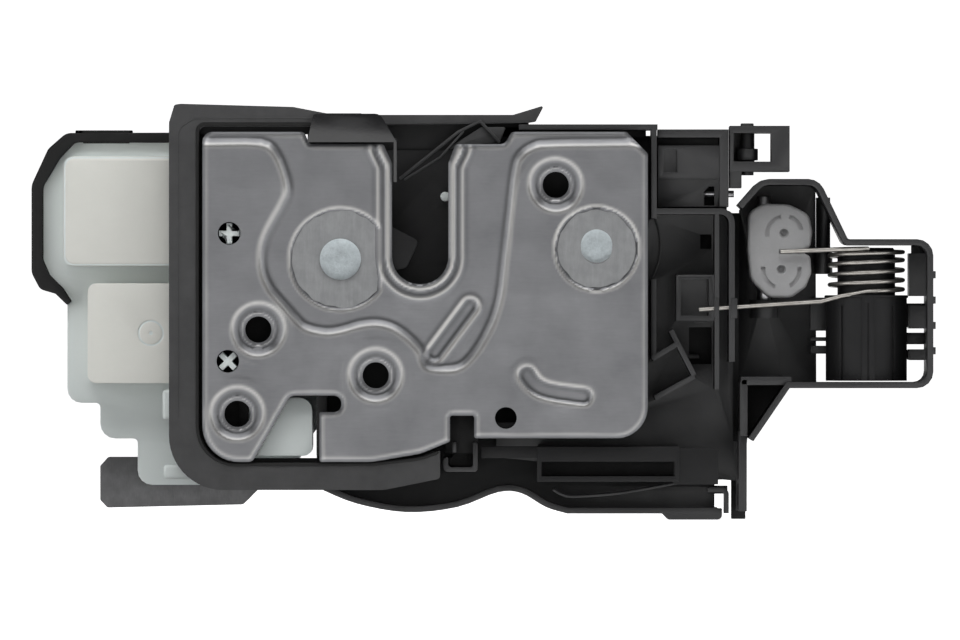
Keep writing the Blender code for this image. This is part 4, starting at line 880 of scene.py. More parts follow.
    def depth(self, x: np.ndarray, z: np.ndarray) -> np.ndarray:
        """Depth of the front face below the raised field.

        Args:
            x: Widths.
            z: Heights.

        Returns:
            Depths at those places.
        """
        edge = self.lowered_edge()
        signed = self._to_path(x, z, edge, closed=True) * np.where(self._inside(x, z, edge), 1, -1)
        lowered = self._ease(signed / (2 * self.step_softness) + 0.5)
        depth = self.step * lowered
        slot_line = [(0.0, self.high.z + 6), (0.0, self.slot_root + self.slot_half)]
        from_slot = self._to_path(x, z, slot_line, closed=False) - self.slot_half
        mouth = self._ease((z - self.high.z + 8.5) / 5.0)
        from_slot = from_slot - 1.7 * mouth
        rim = 0.42 * (1 - self._ease((from_slot - 1.3) / 0.45))
        ridge = 0.3 * self._swell(from_slot, 3.15, 0.6)
        depth -= rim * lowered + ridge * lowered
        ring = self._from(x, z, self.catch_pivot)
        cut_right = self._ease((-9.0 - x) / 0.45 + 0.5)
        cut_low = self._ease(((z - 24.4) - (x + 8.4) * 1.05) / 0.7 + 0.5)
        recess = 1 - self._ease((ring - self.catch_recess_r) / 0.5 + 0.5)
        depth += self.catch_recess_depth * recess * cut_right * cut_low
        ring = self._from(x, z, self.pawl_recess)
        depth += self.pawl_recess_depth * (1 - self._ease((ring - self.pawl_recess_r) / 0.4 + 0.5))
        left_side = self._ease((40.5 - x + (33 - z) * 0.6) / 9)
        depth -= 0.3 * self._swell(ring, self.pawl_recess_r + 1.2, 0.9) * left_side
        for hole in self.bolt_holes:
            ring = self._from(x, z, hole)
            cone = self._ease((self.flare_r - ring) / (self.flare_r - self.rim_r))
            depth += self.flare_depth * cone * (1 - 0.75 * lowered)
            depth -= 0.22 * self._swell(ring - self.flare_r, 0.5, 0.8)
            depth -= 0.3 * self._swell(ring, self.rim_r, 0.3)
        depth += self._dish(x, z, self.straight_bead, 1.35, 0.5, 0.9)
        depth += self._dish(x, z, Outline.flowing(self.curved_bead, 4), 1.65, 0.62, 1.1)
        from_edge = self._to_path(x, z, self.outline(), closed=True)
        depth += 0.4 * np.clip(1 - from_edge / 0.9, 0, 1) ** 2
        depth += 0.07 * np.sin(x * 0.31 + 1.1) * np.sin(z * 0.27) * (1 - lowered)
        return np.clip(depth, self.low.y, None)

    def edge_light_and_shade(self, piece: Piece) -> None:
        """Paint a highlight on raised edges and shade in hollows, in a vertex attribute.

        Args:
            piece: The pressed plate.
        """
        spots = np.zeros(len(piece.data.vertices) * 3, np.float32)
        piece.data.vertices.foreach_get("co", spots)
        spots = spots.reshape(-1, 3).astype(float) / MM
        x, z = spots[:, 0], spots[:, 2]
        here = self.depth(x, z)
        around = np.zeros(len(x))
        reach, turns = 1.0, 6
        for step in range(turns):
            angle = math.tau * step / turns
            around += self.depth(x + reach * math.cos(angle), z + reach * math.sin(angle)) / turns
        # Above 0.5 is a painted highlight on raised edges, below 0.5 is painted shade in hollows.
        light_and_shade_level = np.clip(0.5 + 2.6 * (around - here), 0, 1)
        mark = piece.data.attributes.new("edge_light_and_shade", "FLOAT", "POINT")
        mark.data.foreach_set("value", light_and_shade_level.astype(np.float32))

    def plate(self) -> Piece:
        """Press the sheet, then punch its outline and holes."""
        margin = 1.0
        wide = self.high.x - self.low.x + 2 * margin
        tall = self.high.z - self.low.z + 2 * margin
        Bench.fresh()
        bpy.ops.mesh.primitive_grid_add(x_subdivisions=round(wide / self.pitch),
                                        y_subdivisions=round(tall / self.pitch), size=1.0)
        piece = bpy.context.object
        spots = np.array([vertex.co[:] for vertex in piece.data.vertices])
        x = self.low.x - margin + (spots[:, 0] + 0.5) * wide
        z = self.low.z - margin + (spots[:, 1] + 0.5) * tall
        placed = np.column_stack([x, self.depth(x, z), z]) * MM
        piece.data.vertices.foreach_set("co", placed.astype(np.float32).ravel())
        piece.data.update()
        Bench.only(piece)
        thick = piece.modifiers.new("sheet", "SOLIDIFY")
        thick.thickness = self.sheet * MM
        thick.offset = -1.0
        bpy.ops.object.modifier_apply(modifier="sheet")
        Bench.clean(piece)
        punch = Bench.sheet("plate_punch", self.outline(), -3.0, 12.0)
        holes = [*((spot, self.hole_r) for spot in self.bolt_holes), (self.plain_hole, self.plain_hole_r),
                 *((spot, self.pin_hole_r) for spot in self.pin_holes),
                 (self.catch_pivot, self.pivot_bore_r), (self.pawl_pivot, self.pivot_bore_r)]
        start, long = self.punched
        for (x, z), radius in holes:
            Bench.cut(punch, Bench.rod("punched_hole", (x, start, z), radius, long))
        Bench.combine(piece, "INTERSECT", [punch], "MANIFOLD")
        piece.name = piece.data.name = "pressed_plate"
        # Paint highlights on the plate's raised edges and shade in its hollows.
        self.edge_light_and_shade(piece)
        Bench.soften(piece, 0.0, angle=34.0)
        return Bench.dress(piece, PRESSED_PLATE, Slot.PLATE_STEEL, stands_for=("face_plate",))

    def rivet(self, node: str, head: float) -> Piece:
        """Rivet with a low upset head, a centre mark and a shank.

        Args:
            node: Packed rivet.
            head: Radius of the front head.

        Returns:
            The rivet.
        """
        low, high = box_mm(node)
        centre = ((low.x + high.x) / 2, low.y, (low.z + high.z) / 2)
        long = high.y - low.y
        tail = (high.x - low.x) / 2
        shank = self.pivot_bore_r - 0.3
        profile = [(0.0, 0.16), (0.35, 0.05), (0.8, 0.18), (1.3, 0.02), (head * 0.7, 0.06),
                   (head * 0.93, 0.28), (head, 0.55), (head, 0.85), (head - 0.15, 1.0), (shank, 1.0),
                   (shank, long - 1.0), (tail - 0.2, long - 1.0), (tail, long - 0.8), (tail, long - 0.3),
                   (tail - 0.4, long), (0.0, long)]
        piece = Bench.lathe(f"{node}_upset", profile, centre, sides=56)
        Bench.soften(piece, 0.0, angle=38.0)
        return Bench.dress(piece, RIVET_ZINC, Slot.RIVET_ZINC, stands_for=(node,))

    def smear(self, name: str, pivot: Point, radius: float, front: float, seed: float,
              cut_x: float) -> Piece:
        """Thin disc of wiped sealant in a recess.

        Args:
            name: Name of the piece.
            pivot: Centre of the recess.
            radius: Its radius.
            front: Depth of its front face.
            seed: Start of its waviness.
            cut_x: Widest place that it reaches to the right.

        Returns:
            The disc.
        """
        outline = []
        for x, z in Outline.arc(pivot, radius, 0.0, 360.0, 90)[:-1]:
            wave = 0.55 * noise.noise(Vector((x * 0.45, z * 0.45, seed)))
            outline.append((min(x, cut_x + wave), z + wave))
        piece = Bench.sheet(name, outline, front, 0.22)
        hole = Bench.rod("smear_hole", (pivot[0], front - 1, pivot[1]), 3.4, 3.0)
        Bench.cut(piece, hole)
        Bench.soften(piece, 0.05, 1)
        return Bench.dress(piece, WIPED_SEALANT, Slot.PLATE_STEEL)

    def cross_pin(self, node: str, turn: float) -> Piece:
        """White locating pin with a cross section that shows in its hole.

        Args:
            node: Packed pin.
            turn: Degrees that the cross is turned.

        Returns:
            The pin.
        """
        low, high = box_mm(node)
        middle = Vector(((low.x + high.x) / 2, (low.z + high.z) / 2))
        arm, half = 2.28, 0.62
        arms = []
        for index in range(4):
            angle = math.radians(turn + 90 * index)
            along = Vector((math.cos(angle), math.sin(angle)))
            side = Vector((-along.y, along.x))
            arms += [middle + along * arm - side * half, middle + along * arm + side * half,
                     middle + (along + side) * half]
        corners = [(x, z, 0.14) for x, z in arms]
        piece = Bench.sheet(f"{node}_cross", Outline.rounded(corners), low.y + 0.15,
                            high.y - low.y - 0.35)
        Bench.soften(piece, 0.14)
        return Bench.dress(piece, NATURAL_WHITE, Slot.WHITE, stands_for=(node,))

    def build(self) -> None:
        """Build the plate, its two rivets, the smears round them and the two cross pins."""
        self.plate()
        self.rivet("catch_rivet", 4.55)
        self.rivet("pawl_rivet", 4.0)
        self.smear("catch_smear", self.catch_pivot, 10.7, self.step + 0.3, 2.0, -9.4)
        self.smear("pawl_smear", self.pawl_recess, 8.6, 0.42, 7.0, 60.0)
        self.cross_pin("plate_pin_upper", 0.0)
        self.cross_pin("plate_pin_lower", 45.0)


# ------------------------------------------------------------------ actuator
@dataclass
class ActuatorShell:
    """White actuator housing, its seal and clip, and the steel release lever under it.

    Sizes are in millimetres.
    """

    rear_floor: float = 18.6
    face: float = 9.0
    edge: float = 0.9
    ejector_mark: Point = (-59.6, 14.7)

    def housing(self) -> None:
        """Housing with soft box corners, a round ejector mark and two small bosses."""
        Copied("actuator_housing", NATURAL_WHITE, Slot.WHITE, edge=0.4, segments=3).build()
        for name, corners, inner in (("motor_bulge", oblong(-79.0, 29.5, -50.4, 53.8), 2.4),
                                     ("switch_bulge", oblong(-73.6, 3.6, -50.4, 25.7), 2.0)):
            corners = [(*spot, radius) for spot, radius in zip(corners, (inner, inner, 1.0, 1.0))]
            bulge = Bench.sheet(name, Outline.rounded(corners), self.face, self.rear_floor - self.face)
            if name == "switch_bulge":
                x, z = self.ejector_mark
                ring = Bench.lathe("mark_ring", [(2.45, -1.0), (2.9, -1.0), (2.9, 0.14), (2.45, 0.14)],
                                   (x, self.face, z))
                dot = Bench.rod("mark_dot", (x, self.face - 1.0, z), 0.45, 1.16, sides=24)
                Bench.cut(bulge, ring, dot)
            Bench.soften(bulge, self.edge, 4)
            Bench.dress(bulge, WARM_WHITE, Slot.WHITE)
        for name, low, high in (("side_boss", (-57.0, 8.1, -4.6), (-51.0, 12.0, 2.2)),
                                ("low_boss", (-56.8, 8.3, -17.6), (-47.0, 12.0, -14.4))):
            boss = Bench.block(name, low, high)
            Bench.soften(boss, 0.8, 3)
            Bench.dress(boss, NATURAL_WHITE, Slot.WHITE)

    def seal(self) -> Piece:
        """Black seal pressed round the left end of the housing."""
        low, high = box_mm("housing_seal")
        outline = Outline.rounded([
            (-49.0, 59.2), (-78.6, 59.1, 3.0), (-82.6, 55.6, 3.0), (-86.3, 47.6, 4.0), (-86.3, 28.0, 3.5),
            (-84.4, 24.4, 2.0), (-81.0, 23.4, 1.0), (-78.4, 20.9, 0.3), (-77.4, 21.8, 0.3),
            (-79.2, 24.6, 1.0), (-82.2, 27.6, 1.6), (-83.7, 31.0, 2.0), (-83.7, 47.2, 3.0),
            (-80.0, 53.4, 3.0), (-76.6, 57.0, 2.0), (-49.0, 56.9)])
        ring = Bench.sheet("pressed_seal", outline, low.y + 0.2, high.y - low.y - 0.4)
        Bench.soften(ring, 0.75, 3)
        return Bench.dress(ring, JOINT_RUBBER, Slot.RUBBER, stands_for=("housing_seal",))

    def clip(self) -> Piece:
        """Clip block that holds the seal's top run."""
        low, high = box_mm("seal_clip")
        block = Bench.block("seal_clip_block", (-74.9, low.y, 56.8), (-64.6, high.y, 59.55))
        tail = Bench.block("clip_tail", (-76.6, low.y + 0.5, 58.9), (-63.9, high.y - 0.3, 59.7))
        Bench.join(block, tail)
        Bench.soften(block, 0.25)
        return Bench.dress(block, JOINT_RUBBER, Slot.BLACK, stands_for=("seal_clip",))

    def lever(self) -> Piece:
        """Flat release lever with a joggled fold across it."""
        low, high = box_mm("outer_release_lever")
        profile = [(low.x, high.y - 2.0), (-55.4, high.y - 2.0), (-53.0, low.y), (-34.0, low.y)]
        fold = Outline.path([(x, y, 2.5) for x, y in profile])
        strip = Outline.band([(x, y + 1.0) for x, y in fold], 1.9)
        sheet = Bench.sheet("lever_strip", strip, low.z, high.z - low.z, Way.UP)
        outline = Outline.rounded([
            (-71.2, -14.8, 0.5), (-69.4, -12.8, 0.8), (-46.0, -12.8, 1.0), (-45.6, -6.0, 3.0),
            (-42.0, -4.2, 3.0), (-37.6, -6.0, 3.0), (-35.0, -19.0, 3.0), (-39.4, -23.4, 1.2),
            (-69.6, -24.1, 0.8), (-71.2, -22.4, 0.6)])
        punch = Bench.sheet("lever_punch", outline, low.y - 3, high.y - low.y + 6)
        bore = Bench.rod("lever_bore", (-42.0, low.y - 4, -9.0), 2.25, high.y - low.y + 8)
        Bench.cut(punch, bore)
        Bench.combine(sheet, "INTERSECT", [punch])
        sheet.name = sheet.data.name = "folded_release_lever"
        Bench.soften(sheet, 0.2, 2)
        return Bench.dress(sheet, LEVER_STEEL, Slot.DARK_STEEL, "release_lever", ("outer_release_lever",))

    def build(self) -> None:
        """Build the whole sub-assembly."""
        self.housing()
        self.seal()
        self.clip()
        self.lever()


# ------------------------------------------------------------------ plate gasket
@dataclass
class PlateGasket:
    """Foam gasket round the plate, with its lip, its deeper run over the mouth and the glossy tab.

    Sizes are in millimetres.
    """

    plate_left: float = -48.0
    inner_top: float = 60.3
    top: float = 63.2
    split: float = -13.0
    lip: float = 0.8

    def ring(self, inset: float) -> Path2D:
        """Outline of the front run.

        Args:
            inset: How far the outer edge is moved inwards.

        Returns:
            Points round the run.
        """
        inner = self.plate_left - 0.8
        outer = inner - 6.6 + inset
        low = -14.1
        return Outline.rounded([
            (self.split, self.inner_top + inset), (self.split, self.top - inset), (-20.7, self.top - inset),
            (-28.0, self.top + 1.4 - inset), (outer + 2.6, self.top + 2.1 - inset, 0.8),
            (outer + 1.2, self.top + 1.9 - inset, 0.6), (outer, self.top - 2.0, 1.5),
            (outer, low - 5.8 + inset, 12), (-8.0, low - 5.8 + inset, 8), (4.4 - inset, low - 3.3 + inset, 1),
            (4.4 - inset, -11.2 - inset), (0.0, -12.8 - inset, 8), (-10.6, low - inset, 10),
            (inner - inset, low - inset, 8.6), (inner - inset, self.inner_top + inset, 1.5)])

    def build(self) -> None:
        """Build the gasket and its lip."""
        low, high = box_mm("plate_gasket")
        run = Bench.sheet("gasket_run", self.ring(0.0), low.y, 5.4)
        deep = Bench.sheet("gasket_deep", Outline.rounded([
            (self.split - 5, 60.6), (self.split - 5, 63.0), (20.5, 63.0), (27.4, 65.1, 0.3),
            (25.5, 61.5, 0.5), (23.5, 61.2, 2)]), high.y - 3.4, 3.3)
        step = Bench.block("gasket_step", (self.split - 4.9, low.y + 0.2, 60.7),
                           (self.split - 0.4, high.y - 0.2, 62.9))
        Bench.join(run, deep, step)
        Bench.soften(run, 0.7, 4, angle=40.0)
        Bench.dress(run, SEAL_RUBBER, Slot.RUBBER, stands_for=("plate_gasket",))
        inner = self.plate_left - 0.8
        edge = Outline.path([(4.0, -11.5), (0.0, -12.9, 8), (-10.6, -14.2, 10), (inner - 0.3, -14.3, 8.4),
                             (inner - 0.3, self.inner_top + 0.5, 1.6), (-13.6, self.inner_top + 0.5)])
        lip = Bench.sheet("gasket_lip", Outline.band(edge, self.lip), low.y - 0.25, 3.2)
        Bench.soften(lip, 0.25, 3)
        Bench.dress(lip, JOINT_RUBBER, Slot.RUBBER)
        bead = Outline.path([(inner - 4.6, -4.0), (inner - 4.6, self.top - 3.4, 3.0),
                             (inner - 1.0, self.top - 1.1, 1.0), (-27.5, self.top - 1.0),
                             (-15.0, self.top - 1.6)])
        crease = Bench.sheet("gasket_crease", Outline.band(bead, 0.35), low.y - 0.12, 0.5)
        Bench.soften(crease, 0.1, 2)
        Bench.dress(crease, SEAL_RUBBER, Slot.RUBBER)


# ------------------------------------------------------------------ rear cover
@dataclass
class RearCover:
    """Fittings of the black rear cover: motor hump, pivot bosses, ribs and four screws.

    Sizes are in millimetres.
    """

    motor_axis: Point = (-68.0, 41.6)
    motor_radius: float = 8.0
    hump_depth: float = 6.2
    hump_length: float = 26.0
    hump_bands: Sequence[float] = (2.0, 12.2, 22.4)
    pivots: Sequence[Point] = ((-14.0, 26.0), (-38.0, 22.0))
    screws: int = 4
    face: float = field(default_factory=lambda: box_mm("cover_screw_1")[1].y - 2.1)

    def hump(self) -> None:
        """Half-round hump over the motor, with three bands round it."""
        along, height = self.motor_axis
        middle = self.face - self.hump_depth
        hump = Bench.rod("motor_hump", (along, middle, height), self.motor_radius, self.hump_length,
                         Way.ACROSS, sides=64)
        bands = [Bench.rod(f"hump_band_{index}", (along + shift, middle, height), self.motor_radius + 0.5,
                           1.6, Way.ACROSS, sides=64) for index, shift in enumerate(self.hump_bands)]
        Bench.join(hump, *bands)
        Bench.cut(hump, Bench.block("hump_trim", (along - 5, self.face - 20, 20),
                                    (along + 40, self.face - 0.3, 60)))
        Bench.soften(hump, 0.3, 3)
        Bench.dress(hump, BLACK_MOULDING, Slot.BLACK)

    def bosses(self) -> None:
        """Ringed bosses over the pivots."""
        profile = [(0.0, -0.3), (5.4, -0.3), (5.4, 0.9), (5.0, 1.3), (3.4, 1.3), (3.0, 0.9), (2.6, 0.5),
                   (0.0, 0.5)]
        for index, (x, z) in enumerate(self.pivots):
            boss = Bench.lathe(f"pivot_boss_{index}", profile, (x, self.face, z))
            Bench.soften(boss, 0.12)
            Bench.dress(boss, BLACK_MOULDING, Slot.BLACK)

    def ribs(self) -> None:
        """Stiffening ribs of the cover and of the carrier's back."""
        outline = Outline.rounded([(*spot, 0.4) for spot in oblong(-0.5, 11.0, 0.5, 45.0)])
        first = Bench.sheet("cover_rib", outline, self.face - 0.2, 1.1)
        Bench.soften(first, 0.2)
        for index, x in enumerate((-26.0, -2.0, 4.5)):
            rib = bpy.data.objects.new(f"cover_rib_{index}", first.data.copy())
            bpy.context.scene.collection.objects.link(rib)
            rib.location = (x * MM, 0, 0)
            Bench.settle(rib, f"cover_rib_{index}")
            Bench.dress(rib, BLACK_MOULDING, Slot.BLACK)
        bpy.data.objects.remove(first, do_unlink=True)
        for index, z in enumerate((-2.0, 9.0, 20.0, 31.0)):
            rib = Bench.block(f"carrier_rib_{index}", (24.0, 20.6, z), (62.0, 21.9, z + 1.1))
            Bench.soften(rib, 0.25)
            Bench.dress(rib, BLACK_MOULDING, Slot.BLACK)

    def screw(self, index: int) -> Piece:
        """Pan-head screw with a six-lobed recess.

        Args:
            index: Number of the screw.

        Returns:
            The screw.
        """
        node = f"cover_screw_{index}"
        low, high = box_mm(node)
        middle = ((low.x + high.x) / 2, (low.z + high.z) / 2)
        piece = Bench.copy_node(node, f"{node}_lobed")
        lobes, steps = [], 36
        for step in range(steps):
            angle = math.tau * step / steps
            reach = 1.25 + 0.25 * math.cos(6 * angle)
            lobes.append((middle[0] + reach * math.cos(angle), middle[1] + reach * math.sin(angle)))
        Bench.cut(piece, Bench.sheet("screw_recess", lobes, high.y - 1.1, 3.0))
        Bench.soften(piece, 0.12)
        return Bench.dress(piece, MACHINED_STEEL, Slot.DARK_STEEL, stands_for=(node,))

    def build(self) -> None:
        """Build everything on the cover."""
        self.hump()
        self.bosses()
        self.ribs()
        for index in range(1, self.screws + 1):
            self.screw(index)


# ------------------------------------------------------------------ dark webs
@dataclass(frozen=True)
class Web:
    """Thin dark wall or fold, given by its outline and depth.

    Sizes are in millimetres.
    """

    name: str
    corners: Sequence[Point]
    start: float
    depth: float
    finish: Finish = BLACK_MOULDING
    edge: float = 0.2

    def build(self) -> Piece:
        """Cut the web from its outline and soften it."""
        piece = Bench.sheet(self.name, Outline.rounded(self.corners), self.start, self.depth)
        Bench.soften(piece, self.edge)
        return Bench.dress(piece, self.finish, Slot.BLACK)


MOUTH_WEBS = (
    Web("mouth_curtain", [(-25.0, 55.0), (-25.0, 62.6, 0.5), (24.0, 62.6, 0.5), (24.0, 55.0)], 13.9, 0.8,
        DEEP_BLACK),
    Web("top_ledge", oblong(-48.6, 58.6, -23.0, 61.4), 4.2, 2.2, DEEP_BLACK),
    Web("top_rear", oblong(18.0, 58.0, 50.0, 60.5), 13.9, 1.0, DEEP_BLACK),
    Web("flap_fold", Outline.band([(-4.6, 48.8), (8.4, 59.2), (13.2, 61.6), (17.6, 56.8)], 0.7), 9.5, 0.8,
        SEAL_RUBBER),
    Web("flap_crease", Outline.band([(-3.6, 48.6), (4.4, 53.6), (9.6, 59.4)], 0.5), 9.6, 0.7, SEAL_RUBBER),
    Web("notch_floor", oblong(5.4, -12.0, 12.8, -2.2), 8.6, 1.0, DEEP_BLACK),
)


# ------------------------------------------------------------------ lock arm
@dataclass
class LockToggle:
    """Grey toggle with two marked bores, arc grooves and the slot of the spring leg.

    Sizes are in millimetres.
    """

    bores: Sequence[Point] = ((80.4, 36.7), (79.8, 28.7))
    groove: float = 0.95
    groove_depth: float = 0.55

    def build(self) -> Piece:
        """Build the toggle.

        Returns:
            The toggle, riding its own body.
        """
        low, high = box_mm("lock_toggle")
        body = Bench.sheet("marked_toggle", Outline.rounded([
            (72.6, 41.6, 3.0), (76.0, high.z - 0.1, 3.0), (81.6, high.z - 0.3, 4.0), (86.0, 40.9, 3.0),
            (high.x - 0.1, 37.0, 3.0), (86.2, 33.7, 1.2), (83.4, 32.7, 0.9), (86.2, 31.8, 1.2),
            (high.x - 0.3, 28.0, 3.0), (85.2, 24.8, 2.0), (82.0, low.z + 0.1, 3.0),
            (77.0, low.z + 0.1, 3.5), (73.0, 26.4, 4.0), (low.x + 0.1, 33.0, 2.0)]), low.y, high.y - low.y)
        Bench.soften(body, 0.75, 4)
        upper, lower = self.bores
        arcs = ((upper, 3.7, 100.0, 190.0), (upper, 3.9, 12.0, 72.0), (lower, 4.0, 170.0, 250.0),
                (lower, 4.0, -62.0, 8.0))
        cutters = []
        for index, (centre, radius, start, end) in enumerate(arcs):
            band = Outline.band(Outline.arc(centre, radius, start, end), self.groove)
            cutters.append(Bench.sheet(f"toggle_groove_{index}", band, low.y - 1.0, 1.0 + self.groove_depth))
        for index, bore in enumerate(self.bores):
            cutters.append(Bench.rod(f"toggle_bore_{index}", (bore[0], low.y - 0.2, bore[1]), 1.15, 1.6,
                                     end_radius=0.5, sides=28))
        cutters.append(Bench.block("leg_slot", (79.3, low.y - 1.0, 32.15), (high.x + 1, low.y + 1.0, 33.25)))
        Bench.cut(body, *cutters)
        Bench.soften(body, 0.0)
        return Bench.dress(body, SOFT_GREY, Slot.GREY, "toggle", ("lock_toggle",))


@dataclass
class SpringPost:
    """Ribbed post that carries the torsion spring.

    Sizes are in millimetres.
    """

    rib: tuple[float, float] = (97.5, 100.3)
    shoulder_top: float = 23.1

    def build(self) -> None:
        """Build the post with its keel, flutes and collar."""
        low, high = box_mm("spring_post")
        centre = ((low.x + high.x) / 2, (low.y + high.y) / 2, low.z)
        radius, tall = (high.x - low.x) / 2, high.z - low.z
        shoulder = self.shoulder_top - low.z
        profile = [(0.0, 0.0), (radius - 0.3, 0.0), (radius - 0.3, shoulder - 0.7),
                   (radius - 0.02, shoulder - 0.5), (radius - 0.02, shoulder - 0.1), (radius - 0.3, shoulder),
                   (6.4, shoulder), (6.4, tall - 0.6), (5.9, tall), (0.0, tall)]
        post = Bench.lathe("ribbed_post", profile, centre, Way.UP, 64)
        front = centre[1] - radius
        keel = Bench.block("post_keel", (self.rib[0], front - 0.65, low.z + 0.05),
                           (self.rib[1], front + 3.5, 22.9))
        line = Bench.block("keel_line", (self.rib[0] + 1.2, front - 1.5, low.z - 1),
                           (self.rib[1] - 1.2, front - 0.25, 21.4))
        Bench.cut(keel, line)
        Bench.join(post, keel)
        for side in (-1, 1):
            x = centre[0] + side * 5.6
            flute = Bench.block("flute", (x - 0.2, front - 1, low.z - 1), (x + 0.2, front + 3.2, 20.8))
            Bench.cut(post, flute)
        Bench.soften(post, 0.12, 2)
        Bench.dress(post, DEEP_BLACK, Slot.BLACK, stands_for=("spring_post",))


@dataclass
class TorsionSpring:
    """Five-turn torsion spring with a leg to the toggle and a leg to the carrier.

    Sizes are in millimetres.
    """

    wire: float = 0.5
    axis: Point = (98.8, 14.0)
    heights: Sequence[float] = (23.9, 25.9, 28.1, 30.4, 32.4, 33.4)
    top_leg: Sequence[Point] = ((79.6, 32.7), (92.0, 33.2))
    low_leg: Sequence[Point] = ((88.6, 21.7), (61.6, 19.9))

    def build(self) -> Piece:
        """Wind the spring.

        Returns:
            The spring as one wire.
        """
        low, high = box_mm("toggle_spring")
        coil = (high.x - self.axis[0]) - self.wire - 0.02
        turns = len(self.heights) - 1
        points = [(self.low_leg[1][0], low.y + self.wire, self.low_leg[1][1]),
                  (self.low_leg[0][0], low.y + self.wire + 0.1, self.low_leg[0][1]),
                  (93.0, low.y + self.wire + 0.05, 22.9)]
        per_turn = 40
        for step in range(per_turn * turns + 1):
            turn = step / per_turn
            whole = min(int(turn), turns - 1)
            height = self.heights[whole] + (self.heights[whole + 1] - self.heights[whole]) * (turn - whole)
            angle = math.tau * turn - math.pi / 2
            points.append((self.axis[0] + coil * math.cos(angle),
                           self.axis[1] + coil * math.sin(angle), height))
        points += [(self.top_leg[1][0], low.y + self.wire + 0.15, self.top_leg[1][1]),
                   (self.top_leg[0][0], low.y + self.wire + 0.05, self.top_leg[0][1])]
        wire = Bench.wire("wound_spring", points, self.wire - 0.02)
        Bench.soften(wire, 0.0, angle=50.0)
        return Bench.dress(wire, SPRING_WIRE, Slot.SPRING_STEEL, stands_for=("toggle_spring",))


ARM_WEBS = (
    Web("arm_root_web", [(64.6, -17.9), (64.6, 41.4), (73.5, 41.4, 1.0), (73.5, 0.0), (71.8, -17.9)],
        23.4, 1.2, DEEP_BLACK),
    Web("arm_foot_web", oblong(69.0, -26.6, 72.2, -17.4), 21.0, 2.6, DEEP_BLACK),
    Web("carrier_backing", oblong(50.6, -8.0, 66.6, 40.4), 24.9, 0.9, DEEP_BLACK),
    Web("window_jamb", oblong(86.6, 15.2, 90.4, 22.6), 22.2, 1.4),
    Web("window_bar_high", oblong(86.6, 12.9, 90.6, 13.8), 21.0, 1.4),
    Web("window_bar_low", oblong(86.6, 10.1, 91.2, 11.9), 19.0, 1.4),
    Web("end_panel", oblong(108.9, 23.4, 112.0, 34.2), 18.0, 1.6),
    Web("end_panel_low", oblong(107.6, 16.0, 112.0, 21.3), 18.0, 1.6),
    Web("end_bar_high", oblong(107.6, 12.2, 112.0, 14.8), 18.0, 1.6),
    Web("outer_wall_upper", [(70.6, -8.0), (70.6, 4.6, 1.0), (72.3, 4.6), (72.3, -8.0)], 4.2, 19.6),
    Web("arm_sill", oblong(70.8, 3.2, 82.0, 5.1), 4.2, 19.6),
    Web("inner_lip", oblong(64.9, 18.0, 66.0, 22.4), 3.7, 1.2, edge=0.1),
    Web("outer_lip", oblong(68.6, 18.0, 70.0, 22.4), 3.7, 1.2, edge=0.1),
    Web("pivot_ring", Outline.band(Outline.arc((38.9, 34.1), 14.4, -58.0, 26.0), 0.4), 18.0, 0.9, edge=0.08),
    Web("recess_step", Outline.band(Outline.path([(56.9, 27.2), (63.6, 27.2, 0.6), (63.6, 17.2, 0.6),
                                                  (60.8, 17.2)]), 0.5), 12.4, 1.0, edge=0.1),
    Web("low_sweep", Outline.band(Outline.flowing([(29.4, -19.9), (31.2, -21.0), (34.0, -21.5), (44.0, -20.8),
                                                   (57.0, -18.5)], 6), 0.6), 12.0, 6.0, edge=0.12),
    Web("end_bar_low", oblong(107.6, 8.9, 112.0, 11.0), 18.0, 1.6),
)

SHELL_GROUP = CopiedGroup("shells", (
    Copied("mouth_guide", GLOSS_BLACK, Slot.GLOSS_BLACK, edge=0.3),
    Copied("actuator_cover", BLACK_MOULDING, Slot.BLACK, edge=0.4),
    Copied("lever_pin", MACHINED_STEEL, Slot.RIVET_ZINC, edge=0.2),
    Copied("lever_spring", SPRING_WIRE, Slot.SPRING_STEEL, edge=0.0),
    Copied("carrier_frame", BLACK_MOULDING, Slot.BLACK),
    Copied("link_guide", BLACK_MOULDING, Slot.BLACK),
    Copied("link_pin", MACHINED_STEEL, Slot.DARK_STEEL, edge=0.1),
    Copied("key_bracket", BLACK_MOULDING, Slot.BLACK),
    Copied("key_shaft", BLACK_MOULDING, Slot.BLACK, "key", 0.15),
    Copied("carrier_arm", BLACK_MOULDING, Slot.BLACK),
    Copied("toggle_pin", MACHINED_STEEL, Slot.DARK_STEEL, edge=0.15),
    Copied("lower_cover", BLACK_MOULDING, Slot.BLACK),
    Copied("lower_guide", DEEP_BLACK, Slot.BLACK),
    Copied("notch_pocket", BLACK_MOULDING, Slot.BLACK),
))


# ------------------------------------------------------------------ studio
WHITE_LIGHT = (1.0, 1.0, 1.0, 1.0)


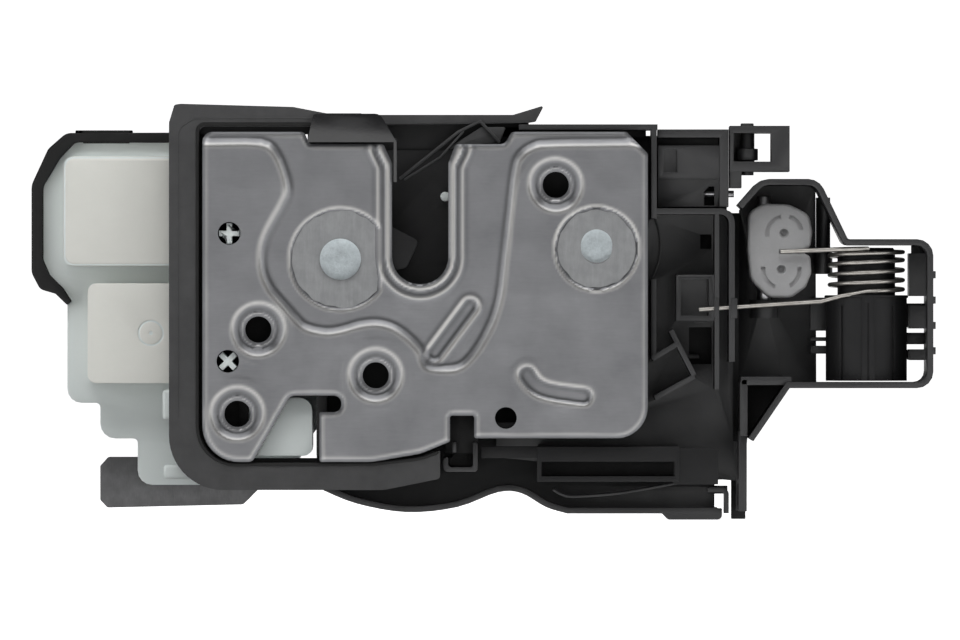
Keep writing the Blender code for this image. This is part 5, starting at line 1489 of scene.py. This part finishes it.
@dataclass
class Studio:
    """Pale floor and backdrop, soft lights and the camera.

    Sizes are in millimetres, and the room's radius is in metres.
    """

    aim: Point = (13.2, 0.0, 17.6)
    distance: float = 2600.0
    width_seen: float = 211.6
    room: float = 6.0

    def floor(self) -> None:
        """Plain pale floor and a backdrop behind the object."""
        low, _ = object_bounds()
        Bench.fresh()
        bpy.ops.mesh.primitive_circle_add(vertices=96, radius=self.room, fill_type="NGON",
                                          location=(0, 0, low[2] - 0.0004))
        ground = bpy.context.object
        ground.name = "floor"
        Bench.fresh()
        bpy.ops.mesh.primitive_cylinder_add(vertices=96, radius=self.room, depth=2 * self.room,
                                            end_fill_type="NOTHING")
        wall = bpy.context.object
        wall.name = "backdrop"
        pale = PALE_STUDIO.material()
        shader = pale.node_tree.nodes["Principled BSDF"]
        shader.inputs["Emission Color"].default_value = WHITE_LIGHT
        shader.inputs["Emission Strength"].default_value = 1.0
        for piece in (ground, wall):
            piece.data.materials.append(pale)
            piece.visible_diffuse = False
        wall.visible_glossy = False
        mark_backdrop(ground, wall)

    def light(self, name: str, place: Point, size: Point, power: float) -> None:
        """Soft area light turned to the object.

        Args:
            name: Name of the light.
            place: Where it hangs, in metres.
            size: Width and height in metres.
            power: Power in watts.
        """
        Bench.fresh()
        bpy.ops.object.light_add(type="AREA", location=place)
        lamp = bpy.context.object
        lamp.name = name
        lamp.data.shape = "RECTANGLE"
        lamp.data.size, lamp.data.size_y = size
        lamp.data.energy = power
        target = Vector(self.aim) * MM
        lamp.rotation_euler = (target - Vector(place)).to_track_quat("-Z", "Y").to_euler()

    def world(self) -> None:
        """Even white surroundings."""
        surroundings = bpy.context.scene.world or bpy.data.worlds.new("studio")
        bpy.context.scene.world = surroundings
        surroundings.use_nodes = True
        background = surroundings.node_tree.nodes["Background"]
        background.inputs["Color"].default_value = WHITE_LIGHT
        background.inputs["Strength"].default_value = 0.1

    def camera(self) -> None:
        """Camera straight in front of the face plate."""
        sensor = 36.0
        eye = (Vector(self.aim) - Vector((0, self.distance, 0))) * MM
        Bench.fresh()
        bpy.ops.object.camera_add(location=eye, rotation=(math.pi / 2, 0, 0))
        eyepiece = bpy.context.object
        eyepiece.name = "front_camera"
        eyepiece.data.sensor_width = sensor
        eyepiece.data.lens = sensor * self.distance / self.width_seen
        eyepiece.data.clip_start = 0.01
        bpy.context.scene.camera = eyepiece

    def build(self) -> None:
        """Set up the whole studio."""
        self.floor()
        self.world()
        for name, place, size, power in (("top_softbox", (0.02, -0.42, 0.72), (1.0, 0.5), 4.9),
                                         ("left_softbox", (-0.8, -0.42, 0.1), (0.5, 0.9), 2.6),
                                         ("right_softbox", (0.85, -0.42, 0.1), (0.5, 0.9), 2.6),
                                         ("low_bounce", (0.0, -0.75, -0.02), (1.2, 0.16), 0.5),
                                         ("front_fill", (0.0, -1.9, 0.35), (0.7, 0.5), 0.7)):
            self.light(name, place, size, power)
        self.camera()
        view = bpy.context.scene.view_settings
        view.view_transform = "Standard"
        view.look = "None"


def main() -> None:
    """Build the scene, sub-assembly by sub-assembly."""
    logging.basicConfig(level=logging.INFO, format="%(message)s")
    for assembly in (FacePlate(), PlateGasket(), ActuatorShell(), RearCover(), LockToggle(),
                     SpringPost(), TorsionSpring(), *MOUTH_WEBS, *ARM_WEBS, CATCH_GROUP, DRIVE_GROUP,
                     SHELL_GROUP, Studio()):
        assembly.build()


if __name__ == "__main__":
    main()
